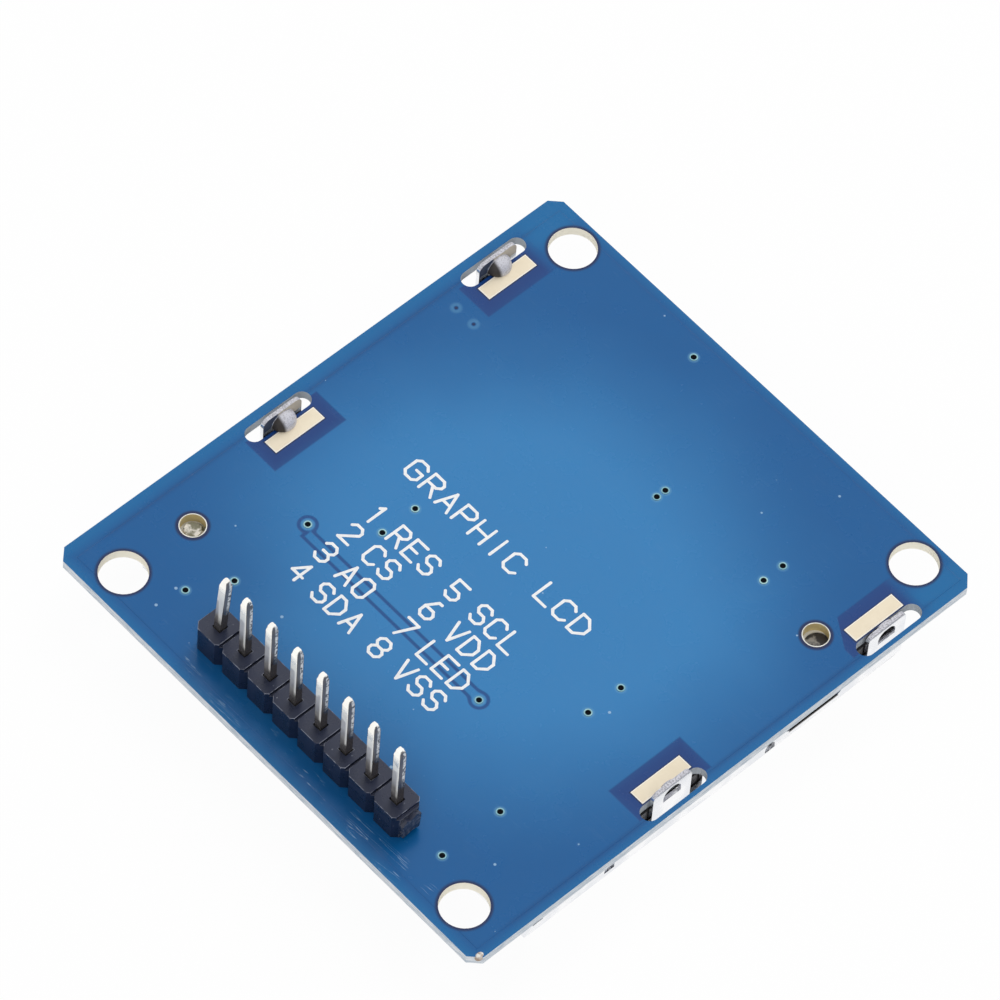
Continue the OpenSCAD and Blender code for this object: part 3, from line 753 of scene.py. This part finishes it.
@dataclass(frozen=True)
class WornFinish(Finish):
    """Moulded plastic that is paler along its upper edges and where it was broken off, with painted light
    on its faces that look along Z.
    """

    edge: Tone = Tone(150, 154, 168)
    # The painted light tone of the faces that look along Z.
    upper: Tone = Tone(37, 43, 63)
    torn: Tone = Tone(98, 100, 108)
    edge_from: Span = (7.34, 7.42)
    broken_from: Span = (10.62, 10.72)

    def paint(self, graph: Graph) -> None:
        """Lays the plastic, its painted light and its worn places.

        Args:
            graph: The material's tree.
        """
        super().paint(graph)
        edges = graph.add("ShaderNodeAttribute", attribute_name=SoftCopy.WEAR).outputs["Fac"]
        patches = graph.mottle(1.6, 4.0, 0.42, 0.6)
        worn = graph.both(edges, graph.ramp(graph.axis("Z"), *self.edge_from), patches)
        dust = graph.effect(Effect.SPECKS, scale=2.4, size=0.14, share=0.1)
        flat = graph.flat_face()
        # Painted light: faces that look along Z are laid lighter than the walls.
        graph.cover(flat, self.upper)
        flaws = graph.both(graph.ramp(graph.axis("X"), *self.broken_from),
                           graph.ramp(graph.noise(4.5, 4.0), 0.45, 0.65, 0.1, 0.9))
        graph.cover(graph.both(flaws, graph.rest(flat)), self.torn)
        graph.cover(graph.either(worn, graph.both(dust, 0.4)), self.edge)


@dataclass(frozen=True)
class PinFinish(Finish):
    """Tinned pin with painted light and shade: bright above, a painted highlight along one edge, painted
    shade that turns it grey below and dark at its root, and a sheared side in painted shade with painted
    glints.
    """

    axis: Vec3 = (1.82, -19.45, 0.0)
    pitch: float = 2.54
    # Heights and widths of the pin's painted light and shade.
    bright: Span = (11.6, 11.1)
    mirror: Span = (12.7, 12.1)
    highlight_band: Span = (0.08, 0.2)
    highlight_foot: Span = (8.2, 9.2)
    root_shade_span: Span = (11.0, 7.9)
    side_shade_span: Span = (10.6, 9.2)
    lane: float = 0.14
    lane_half: Span = (0.16, 0.08)
    dulled: float = 0.2
    # Painted shade tones: grey below, dark at the root, grey on the sheared side.
    grey: Tone = Tone(200, 199, 199)
    root: Tone = Tone(62, 58, 57)
    side_shade: Tone = Tone(116, 113, 112)

    def paint(self, graph: Graph) -> None:
        """Lays the tin, its painted shade below and at its root, its painted highlight along one edge and
        its shaded, sheared side.

        Args:
            graph: The material's tree.
        """
        super().paint(graph)
        new = graph.colour
        spot = graph.parts(graph.away(self.axis))
        along = graph.math("WRAP", spot["X"], self.pitch / 2, -self.pitch / 2)
        drift = graph.ramp(graph.noise(1.3, 3.0), 0.25, 0.75, -0.35, 0.35)
        height = graph.math("ADD", spot["Z"], drift)
        # Painted shade: the pin is laid grey below a wavering height.
        graph.cover(graph.ramp(height, *self.bright), self.grey)
        lane = graph.ramp(graph.size(graph.math("SUBTRACT", spot["Y"], self.lane)), *self.lane_half)
        # The sheared side has its own torn texture, laid in a grey painted shade with painted glints; lower
        # down it darkens to the root's painted shade.
        torn = graph.both(lane, graph.mottle(5.0, 2.0, 0.42, 0.5))
        sheared = graph.blend(torn, self.side_shade, new)
        sheared = graph.blend(graph.ramp(height, *self.side_shade_span), sheared, self.root)
        side = graph.ramp(graph.normal("X"), 0.6, 0.8)
        graph.cover(side, sheared)
        # Painted shade: the pin darkens towards its root.
        graph.cover(graph.ramp(height, *self.root_shade_span, 0.0, 0.95), self.root)
        # Painted highlight: a bright band along one edge of the face that looks along -Y.
        edge = graph.both(graph.ramp(graph.normal("Y"), -0.6, -0.8), graph.ramp(along, *self.highlight_band),
                          graph.ramp(height, *self.highlight_foot, 0.0, 0.85))
        graph.cover(edge, new)
        shiny = graph.ramp(height, *self.mirror, self.metallic, self.dulled)
        graph.lay("Metallic", graph.both(shiny, graph.ramp(side, 0.0, 1.0, 1.0, self.dulled)))


@dataclass(frozen=True)
class ScreenFinish(Finish):
    """Reflective display face with a faint grid of dots in its active area."""

    centre: Vec3 = (0.0, -2.6, 0.0)
    half: Vec3 = (15.4, 10.6, 0.0)
    dot: Vec3 = (0.366, 0.44, 1.0)
    dot_middle: Vec3 = (0.5, 0.5, 0.5)
    line: Tone = Tone(118, 128, 108)

    def paint(self, graph: Graph) -> None:
        """Lays the face and its dots.

        Args:
            graph: The material's tree.
        """
        super().paint(graph)
        step = graph.vector("FRACTION", graph.vector("DIVIDE", graph.away(self.centre), self.dot))
        off = graph.parts(graph.vector("ABSOLUTE", graph.vector("SUBTRACT", step, self.dot_middle)))
        grid = graph.ramp(graph.either(off["X"], off["Y"]), 0.4, 0.47)
        area = graph.inside(graph.plate(self.centre, self.half), 0.05)
        graph.cover(graph.both(grid, area, 0.5), self.line)


@dataclass(frozen=True)
class StripeFinish(Finish):
    """Elastomer strip of alternating conducting and plain layers along X."""

    pitch: float = 0.18

    def paint(self, graph: Graph) -> None:
        """Lays the strip and its layers.

        Args:
            graph: The material's tree.
        """
        super().paint(graph)
        step = graph.math("FRACT", graph.math("DIVIDE", graph.axis("X"), self.pitch))
        graph.cover(graph.ramp(step, 0.45, 0.55), self.shade)


def piece(bm: BMesh, name: str, finish: Finish, replaced: tuple[str, ...] = ()) -> bpy.types.Object:
    """Turns a finished bmesh into a piece that rides on the part.

    Args:
        bm: The mesh, in metres in the part's frame.
        name: The piece's name.
        finish: Its finish.
        replaced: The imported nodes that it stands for.

    Returns:
        The new object.
    """
    mesh = bpy.data.meshes.new(name)
    bm.to_mesh(mesh)
    bm.free()
    mesh.materials.append(finish.material())
    made = bpy.data.objects.new(name, mesh)
    bpy.context.scene.collection.objects.link(made)
    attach(made, BODY)
    if replaced:
        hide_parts(*replaced)
    LOG.info("piece %s: %d faces", name, len(mesh.polygons))
    return made


def dress(finish: Finish, *nodes: str) -> None:
    """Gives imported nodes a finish.

    Args:
        finish: The finish.
        nodes: The nodes' names.
    """
    for name in nodes:
        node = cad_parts[name]
        if not node.material_slots:
            node.data.materials.append(None)
        for held in node.material_slots:
            held.material = finish.material()
        LOG.info("node %s: %s", name, finish.name)


def only(kind: type, geom: list) -> list:
    """Gives the elements of one kind among those that an operator returns."""
    return [part for part in geom if isinstance(part, kind)]


@dataclass(frozen=True)
class SoftCopy:
    """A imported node's own form with its sharp edges rounded off a little."""

    node: str
    width: float
    sharp: float = 40.0
    segments: int = 2
    crown: float = 0.0

    WEAR: ClassVar[str] = "edge_wear"
    MERGE: ClassVar[float] = 0.0005
    LEVEL: ClassVar[float] = 0.5
    CROWN_STEPS: ClassVar[int] = 6
    CROWN_CUTS: ClassVar[int] = 3
    CROWN_TIP: ClassVar[float] = 0.15
    CROWN_POWER: ClassVar[float] = 0.4
    CROWN_SPREAD: ClassVar[float] = 0.4

    def build(self, finish: Finish, slot: str) -> bpy.types.Object:
        """Makes the rounded piece in the node's place.

        Args:
            finish: The piece's finish.
            slot: Not used.

        Returns:
            The new object.
        """
        bm = bmesh.new()
        bm.from_mesh(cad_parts[self.node].data)
        bmesh.ops.remove_doubles(bm, verts=bm.verts, dist=self.MERGE * MM)
        bmesh.ops.dissolve_limit(bm, angle_limit=math.radians(self.LEVEL), verts=bm.verts, edges=bm.edges)
        worn = bm.faces.layers.float.new(self.WEAR)
        limit = math.radians(self.sharp)
        edges = [edge for edge in bm.edges if edge.is_manifold and edge.calc_face_angle(0.0) > limit]
        rounded = bmesh.ops.bevel(bm, geom=edges, offset=self.width * MM, offset_type="OFFSET",
                                  segments=self.segments, profile=0.5, affect="EDGES",
                                  clamp_overlap=True, material=-1)
        for face in rounded["faces"]:
            face[worn] = 1.0
        if self.crown:
            self._dome(bm)
        return piece(bm, f"{self.node}_soft", finish, (self.node,))

    @staticmethod
    def _rim(bm: BMesh) -> list[bmesh.types.BMEdge]:
        """Gives the edges of the mesh's opening."""
        return [edge for edge in bm.edges if edge.is_boundary]

    def _dome(self, bm: BMesh) -> None:
        """Recuts the upper end as a dome that turns from the body's section to a round one.

        Args:
            bm: The piece's mesh, in metres.
        """
        base = max(vert.co.z for vert in bm.verts) - self.crown * MM
        bmesh.ops.bisect_plane(bm, geom=bm.verts[:] + bm.edges[:] + bm.faces[:], plane_co=(0, 0, base),
                               plane_no=(0, 0, 1), clear_outer=True)
        bmesh.ops.subdivide_edges(bm, edges=self._rim(bm), cuts=self.CROWN_CUTS)
        grown = bmesh.ops.edgeloop_fill(bm, edges=self._rim(bm))["faces"]
        middle = grown[0].calc_center_bounds()
        half = min((vert.co - middle).length for vert in grown[0].verts)
        scale, height = 1.0, 0.0
        for step in range(1, self.CROWN_STEPS + 1):
            turn = math.pi / 2 * step / self.CROWN_STEPS
            wide = max(self.CROWN_TIP, math.cos(turn) ** self.CROWN_POWER)
            rise = self.crown * MM * math.sin(turn)
            grown = bmesh.ops.extrude_face_region(bm, geom=only(bmesh.types.BMFace, grown))["geom"]
            ring = only(bmesh.types.BMVert, grown)
            bmesh.ops.scale(bm, vec=(wide / scale, wide / scale, 1), verts=ring,
                            space=Matrix.Translation(-middle))
            limit = half * wide * (1 + self.CROWN_SPREAD * (1 - step / self.CROWN_STEPS))
            for vert in ring:
                away = (vert.co - middle).to_2d()
                vert.co.xy = middle.xy + away * min(1.0, limit / away.length)
            bmesh.ops.translate(bm, vec=(0, 0, rise - height), verts=ring)
            scale, height = wide, rise


class Glyphs:
    """A plain drawn alphabet on a grid 4 wide and 6 high, as strokes of grid points."""

    STROKES: ClassVar[dict[str, str]] = {
        "0": "10 01 05 16 36 45 41 30 10", "1": "15 26 20", "2": "05 16 36 45 44 00 40",
        "3": "05 16 36 45 44 33 42 41 30 10 01|13 33", "4": "30 36 02 42",
        "5": "46 06 03 33 42 41 30 10 01", "6": "36 26 03 01 10 30 41 42 33 03", "7": "06 46 10",
        "8": "13 04 05 16 36 45 44 33 13 02 01 10 30 41 42 33", "A": "00 26 40|12 32",
        "C": "45 36 16 05 01 10 30 41", "D": "00 06 26 44 42 20 00", "E": "46 06 00 40|03 33",
        "G": "45 36 16 05 01 10 30 41 43 23", "H": "00 06|40 46|03 43", "I": "20 26", "L": "06 00 40",
        "P": "00 06 36 45 44 33 03", "R": "00 06 36 45 44 33 03|23 40",
        "S": "45 36 16 05 04 13 33 42 41 30 10 01", "V": "06 20 46",
    }
    WIDE: ClassVar[float] = 4.0
    HIGH: ClassVar[float] = 6.0

    @classmethod
    def segments(cls, letter: str) -> list[tuple[Vector, Vector]]:
        """Gives a letter's strokes as pairs of grid points.

        Args:
            letter: The letter, or a space, which has no strokes.

        Returns:
            The ends of each straight run.
        """
        pairs = []
        for stroke in cls.STROKES.get(letter, "").split("|"):
            points = [Vector((int(pair[0]), int(pair[1]), 0)) for pair in stroke.split()]
            pairs += list(zip(points, points[1:]))
        return pairs


@dataclass(frozen=True)
class Line:
    """One printed line: its words, where its lower left corner lies, and its letters' size."""

    text: str
    left: float
    base: float
    wide: float = 1.02
    gap: float = 0.48
    high: float = 1.6


@dataclass
class Legend:
    """White printed legend on the board's back."""

    name: str
    lines: tuple[Line, ...]
    level: float
    finish: Finish
    stroke: float = 0.23
    thick: float = 0.012
    layer_rise: float = 0.0006
    sides: int = 12

    def build(self) -> bpy.types.Object:
        """Prints every line as flat rounded strokes.

        Returns:
            The legend's object.
        """
        bm = bmesh.new()
        for line in self.lines:
            for place, letter in enumerate(line.text):
                for layer, (start, end) in enumerate(Glyphs.segments(letter)):
                    self._stroke(bm, self._spot(line, place, start), self._spot(line, place, end), layer)
        bmesh.ops.scale(bm, vec=(MM, MM, MM), verts=bm.verts)
        bmesh.ops.recalc_face_normals(bm, faces=bm.faces)
        return piece(bm, self.name, self.finish)

    def _spot(self, line: Line, place: int, grid: Vector) -> Vector:
        """Gives a grid point's place on the board, in millimetres."""
        across = place * (line.wide + line.gap) + grid.x / Glyphs.WIDE * line.wide
        return Vector((line.left + across, line.base + grid.y / Glyphs.HIGH * line.high, self.level))

    def _stroke(self, bm: BMesh, start: Vector, end: Vector, layer: int) -> None:
        """Adds one bar with round ends, a little higher than the one before it.

        Args:
            bm: The legend's mesh, in millimetres.
            start: The bar's first end.
            end: Its other end.
            layer: How many bars of the letter lie before it.
        """
        run = end - start
        disc = bmesh.ops.create_circle(bm, cap_ends=True, radius=self.stroke / 2,
                                       segments=self.sides)["verts"]
        for vert in disc:
            if vert.co.x > 0:
                vert.co.x += run.length
        turn = Matrix.Rotation(math.atan2(run.y, run.x), 4, "Z")
        bmesh.ops.transform(bm, matrix=Matrix.Translation(start) @ turn, verts=disc)
        raised = bmesh.ops.extrude_face_region(bm, geom=disc[0].link_faces[:])["geom"]
        height = self.thick + layer * self.layer_rise
        bmesh.ops.translate(bm, vec=(0, 0, height), verts=only(bmesh.types.BMVert, raised))


def via_places() -> list[Vector]:
    """Finds the middle of each plated via, in metres.

    Returns:
        One middle for each separate lump of the plating.
    """
    bm = bmesh.new()
    bm.from_mesh(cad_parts["via_plating"].data)
    bmesh.ops.remove_doubles(bm, verts=bm.verts, dist=SoftCopy.MERGE * MM)
    left = set(bm.verts)
    middles = []
    while left:
        lump, front = set(), [left.pop()]
        while front:
            vert = front.pop()
            lump.add(vert)
            near = {edge.other_vert(vert) for edge in vert.link_edges} & left
            left -= near
            front += list(near)
        low = Vector(min(vert.co[axis] for vert in lump) for axis in range(3))
        high = Vector(max(vert.co[axis] for vert in lump) for axis in range(3))
        middles.append((low + high) / 2)
    bm.free()
    return sorted(middles, key=tuple)


@dataclass
class Board:
    """The circuit board with its platings, pads, legend, closed vias and torn corner."""

    plug_sink: float = 0.16
    plug_dip: float = 0.08
    plug_r: float = 0.21
    plug_sides: int = 16
    pad_round: float = 0.015
    burr_at: Vec3 = (20.86, -22.28, 4.84)
    burr_r: float = 0.28
    burr_long: float = 1.35
    burr_cuts: int = 3
    words: tuple[tuple[str, ...], ...] = (("1", "RES", "5", "SCL"), ("2", "CS", "6", "VDD"),
                                          ("3", "A0", "7", "LED"), ("4", "SDA", "8", "VSS"))
    columns: tuple[float, ...] = (11.33, 13.65, 19.4, 21.9)
    rows: tuple[float, ...] = (17.82, 15.5, 13.18, 10.86)
    title: str = "GRAPHIC LCD"
    title_at: Span = (10.3, 22.33)
    title_wide: float = 1.16
    title_gap: float = 0.5
    mask: Finish = MaskFinish("blue_mask", Tone(46, 125, 185), Tone(0, 88, 149), gloss=(0.2, 0.28),
                              shine=0.38)
    # The vias' walls are laid dark as painted shade inside the holes.
    plated: Finish = RimFinish("via_plating_tin", Tone(168, 210, 212), Tone(126, 178, 192),
                               gloss=(0.3, 0.45), metallic=0.3, wall=Tone(50, 58, 58))
    gold_bore: Finish = RimFinish("peg_hole_plating_gold", Tone(246, 246, 242), Tone(214, 214, 206),
                                  gloss=(0.3, 0.45), metallic=0.3, wall=Tone(226, 209, 156))
    pads: Finish = PadFinish("pad_dull_tin", Tone(244, 232, 208), Tone(236, 223, 198), grain=0.7,
                             gloss=(0.42, 0.55), metallic=0.3)
    fibre: Finish = Finish("torn_laminate", Tone(254, 251, 246), Tone(170, 150, 134), grain=2.6,
                           gloss=(0.65, 0.8), relief=0.03)
    gilt: Finish = Finish("contact_gold", Tone(222, 186, 98), Tone(200, 162, 74), gloss=(0.25, 0.4),
                          metallic=1.0)
    ink: Finish = Finish("legend_ink", Tone(252, 252, 252), Tone(240, 242, 244), grain=3.0,
                         gloss=(0.5, 0.65))
    # Near black: painted shade in the via holes.
    plug: Finish = Finish("via_plug_mask_painted_shade", Tone(6, 16, 28), Tone(2, 8, 16), gloss=(0.4, 0.5), shine=0.1)

    def build(self) -> None:
        """Adds the plugs, the torn corner, the softened pads and the legend."""
        self._plugs()
        self._burr()
        SoftCopy("tab_pads", self.pad_round).build(self.pads, "pad_tin")
        self._legend()

    def dress(self) -> None:
        """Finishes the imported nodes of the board."""
        dress(self.mask, "pcb")
        dress(self.plated, "via_plating")
        dress(self.gold_bore, "peg_hole_plating")
        dress(self.gilt, "contact_pads")

    def _plugs(self) -> None:
        """Closes each via with a dished drop of mask below its rim, coloured near black as painted shade in
        the hole.
        """
        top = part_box("via_plating")[1]
        bm = bmesh.new()
        for place in via_places():
            spot = Matrix.Translation((place.x, place.y, top.z - self.plug_sink * MM))
            disc = bmesh.ops.create_circle(bm, cap_ends=True, radius=self.plug_r * MM,
                                           segments=self.plug_sides, matrix=spot)["verts"]
            middle = bmesh.ops.poke(bm, faces=disc[0].link_faces[:])["verts"]
            bmesh.ops.translate(bm, vec=(0, 0, -self.plug_dip * MM), verts=middle)
        piece(bm, "via_plugs", self.plug)

    def _burr(self) -> None:
        """Adds the torn lump of laminate at one corner."""
        bm = bmesh.new()
        spot = Matrix.Translation(Vector(self.burr_at) * MM) @ Matrix.Diagonal((1, self.burr_long, 1, 1))
        bmesh.ops.create_icosphere(bm, subdivisions=self.burr_cuts, radius=self.burr_r * MM, matrix=spot)
        piece(bm, "panel_burr", self.fibre)

    def _legend(self) -> None:
        """Prints the title and the list of pins."""
        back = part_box("pcb")[1].z / MM
        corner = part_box("pcb")[0] / MM
        lines = [Line(word, corner.x + left, corner.y + base)
                 for row, base in zip(self.words, self.rows) for word, left in zip(row, self.columns)]
        left, base = self.title_at
        lines.append(Line(self.title, corner.x + left, corner.y + base, self.title_wide, self.title_gap))
        Legend("board_legend", tuple(lines), back, self.ink).build()


@dataclass
class Display:
    """The folded bezel and the display stack in it."""

    edge_round: float = 0.03
    edge_angle: float = 50.0
    leds: int = 4
    steel: Finish = SteelFinish("bezel_bright_steel", Tone(253, 253, 254), Tone(234, 236, 240), grain=0.6,
                                gloss=(0.16, 0.3), metallic=1.0, relief=0.001)
    screen: Finish = ScreenFinish("display_face", Tone(168, 176, 156), Tone(156, 166, 144), grain=0.05,
                                  gloss=(0.18, 0.24), coat=0.4)
    glass: Finish = Finish("display_glass", Tone(196, 214, 208), Tone(180, 202, 196), gloss=(0.05, 0.1),
                           coat=0.5)
    polarizer: Finish = Finish("rear_polarizer_film", Tone(120, 124, 122), Tone(104, 108, 106),
                               gloss=(0.3, 0.4))
    film: Finish = Finish("white_film", Tone(240, 240, 240), Tone(226, 228, 230), gloss=(0.4, 0.6))
    guide: Finish = GuideFinish("light_guide_plastic", Tone(208, 208, 194), Tone(172, 174, 158),
                                gloss=(0.35, 0.5))
    chip: Finish = Finish("bare_silicon", Tone(72, 74, 82), Tone(50, 52, 60), gloss=(0.15, 0.25),
                          metallic=0.4)
    strip: Finish = StripeFinish("elastomer_strip", Tone(196, 150, 158), Tone(40, 40, 42))
    resistor: Finish = Finish("resistor_film", Tone(34, 34, 38), Tone(22, 22, 26))
    capacitor: Finish = Finish("capacitor_ceramic", Tone(172, 136, 104), Tone(150, 116, 86))
    lamp: Finish = Finish("led_resin", Tone(238, 232, 190), Tone(224, 214, 160), gloss=(0.25, 0.4))

    def build(self) -> None:
        """Rounds the cut edges of the bezel's sheet."""
        SoftCopy("lcd_bezel", self.edge_round, sharp=self.edge_angle).build(self.steel, "bezel_steel")

    def dress(self) -> None:
        """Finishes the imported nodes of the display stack."""
        dress(self.screen, "front_polarizer")
        dress(self.glass, "front_glass", "rear_glass")
        dress(self.polarizer, "rear_polarizer")
        dress(self.film, "diffuser_film", "reflector_film")
        dress(self.guide, "light_guide")
        dress(self.chip, "driver_chip")
        dress(self.strip, "elastomer_connector")
        dress(self.resistor, "led_resistor")
        dress(self.capacitor, "display_capacitor")
        dress(self.lamp, *[f"led_{count}" for count in range(1, self.leds + 1)])


@dataclass
class Header:
    """The breakaway pin header."""

    pins: int = 8
    housing_round: float = 0.05
    pin_round: float = 0.06
    pin_crown: float = 0.42
    plastic: Finish = WornFinish("header_black_plastic", Tone(22, 29, 53), Tone(17, 24, 46), grain=1.2,
                                 gloss=(0.26, 0.36), fine=5.0, relief=0.003)
    tin: Finish = PinFinish("pin_bright_tin", Tone(255, 255, 250), Tone(250, 248, 242), grain=0.8,
                            gloss=(0.1, 0.14), metallic=1.0, relief=0.0004)
    solder: Finish = Finish("solder_joint", Tone(206, 208, 212), Tone(176, 178, 184), gloss=(0.2, 0.4),
                            metallic=1.0)

    def build(self) -> None:
        """Softens the housing and the pins."""
        SoftCopy("header_housing", self.housing_round).build(self.plastic, "header_plastic")
        for count in range(1, self.pins + 1):
            SoftCopy(f"pin_{count}", self.pin_round, crown=self.pin_crown).build(self.tin, "pin_tin")

    def dress(self) -> None:
        """Finishes the solder joints."""
        dress(self.solder, *[f"solder_{count}" for count in range(1, self.pins + 1)])


@dataclass(frozen=True)
class Lamp:
    """One soft lamp, aimed at the part."""

    name: str
    azimuth: float
    elevation: float
    distance: float
    size: float
    level: float


@dataclass
class Studio:
    """Floor, light and camera."""

    azimuth: float = 43.7065
    elevation: float = 56.5732
    roll: float = 4.831
    target: Vec3 = (-4.7768, 2.8316, 5.0)
    distance: float = 553.542
    lens: float = 292.32
    sensor: float = 36.0
    near: float = 0.01
    floor_side: float = 3000.0
    floor_drop: float = 0.02
    floor_tones: tuple[Rgba, Rgba] = ((0.9, 0.9, 0.9, 1.0), (0.94, 0.94, 0.94, 1.0))
    floor_grain: float = 0.05
    floor_rough: float = 0.9
    floor_white: float = 0.96
    sky: float = 0.5
    sky_tone: Rgba = (1.0, 1.0, 1.0, 1.0)
    lamps: tuple[Lamp, ...] = (
        Lamp("lamp_back", 205.0, 55.0, 700.0, 500.0, 0.5),
        Lamp("lamp_front", 40.0, 30.0, 700.0, 400.0, 0.2),
    )

    def build(self) -> None:
        """Sets up everything around the part."""
        bpy.context.scene.view_settings.view_transform = "Standard"
        self._floor()
        self._sky()
        for lamp in self.lamps:
            self._lamp(lamp)
        self._camera()

    @staticmethod
    def _seen(graph: Graph) -> Socket:
        """Gives 1 for rays that show the background: straight, mirrored or through glass."""
        rays = graph.add("ShaderNodeLightPath").outputs
        return graph.either(*[rays[f"Is {kind} Ray"] for kind in ("Camera", "Glossy", "Transmission")])

    def _floor(self) -> None:
        """Lays a pale floor that keeps the part's shadow and is open from below."""
        bm = bmesh.new()
        bmesh.ops.create_grid(bm, x_segments=1, y_segments=1, size=self.floor_side * MM / 2,
                              matrix=Matrix.Translation((0, 0, -self.floor_drop * MM)))
        mesh = bpy.data.meshes.new("floor")
        bm.to_mesh(mesh)
        bm.free()
        mesh.materials.append(self._floor_material())
        floor = bpy.data.objects.new("floor", mesh)
        bpy.context.scene.collection.objects.link(floor)

    def _floor_material(self) -> bpy.types.Material:
        """Makes the floor's material.

        Returns:
            The material.
        """
        made = bpy.data.materials.new("pale_floor")
        made.use_nodes = True
        graph = Graph(made.node_tree)
        graph.colour = graph.blend(graph.noise(self.floor_grain), *self.floor_tones)
        graph.lay("Roughness", self.floor_rough)
        graph.lay("Specular IOR Level", 0.0)
        white = graph.add("ShaderNodeEmission").outputs[0]
        shown = graph.both(self._seen(graph), self.floor_white)
        lit = graph.add("ShaderNodeMixShader", {0: shown, 1: graph.shader.outputs[0], 2: white}).outputs[0]
        under = graph.add("ShaderNodeNewGeometry").outputs["Backfacing"]
        clear = graph.add("ShaderNodeBsdfTransparent").outputs[0]
        whole = graph.add("ShaderNodeMixShader", {0: under, 1: lit, 2: clear}).outputs[0]
        graph.feed(made.node_tree.nodes["Material Output"].inputs["Surface"], whole)
        return made

    def _sky(self) -> None:
        """Lights the part from all round and shows plain white behind it."""
        world = bpy.data.worlds.new("soft_tent")
        world.use_nodes = True
        bpy.context.scene.world = world
        graph = Graph(world.node_tree)
        ground = world.node_tree.nodes["Background"]
        graph.feed(ground.inputs["Color"], self.sky_tone)
        graph.feed(ground.inputs["Strength"], graph.ramp(self._seen(graph), 0.0, 1.0, self.sky, 1.0))

    def _place(self, azimuth: float, elevation: float, distance: float) -> Matrix:
        """Gives the place of something that looks at the target.

        Args:
            azimuth: Degrees round the part, 0 from its lower end.
            elevation: Degrees above the floor.
            distance: Millimetres from the target.

        Returns:
            Its matrix, in metres.
        """
        tilt = Matrix.Rotation(math.radians(90 - elevation), 4, "X")
        turn = Matrix.Rotation(math.radians(azimuth), 4, "Z") @ tilt
        middle = Matrix.Translation(Vector(self.target) * MM)
        return middle @ turn @ Matrix.Translation((0, 0, distance * MM))

    def _lamp(self, lamp: Lamp) -> None:
        """Adds one square soft lamp, whose level is the share of plain light it gives.

        Args:
            lamp: The lamp's values.
        """
        light = bpy.data.lights.new(lamp.name, "AREA")
        light.size = lamp.size * MM
        light.energy = lamp.level * (math.pi * lamp.distance * MM) ** 2
        held = bpy.data.objects.new(lamp.name, light)
        held.matrix_world = self._place(lamp.azimuth, lamp.elevation, lamp.distance)
        held.visible_glossy = False
        bpy.context.scene.collection.objects.link(held)

    def _camera(self) -> None:
        """Sets the camera at the photograph's angle."""
        lens = bpy.data.cameras.new("camera")
        lens.sensor_fit = "HORIZONTAL"
        lens.sensor_width = self.sensor
        lens.lens = self.lens
        lens.clip_start = self.near
        held = bpy.data.objects.new("camera", lens)
        held.matrix_world = (self._place(self.azimuth, self.elevation, self.distance)
                             @ Matrix.Rotation(math.radians(self.roll), 4, "Z"))
        bpy.context.scene.collection.objects.link(held)
        bpy.context.scene.camera = held


def main() -> None:
    """Builds and dresses the part."""
    logging.basicConfig(level=logging.INFO, format="%(name)s %(message)s")
    for part in (Board(), Display(), Header()):
        part.build()
        part.dress()
    Studio().build()


if __name__ == "__main__":
    main()
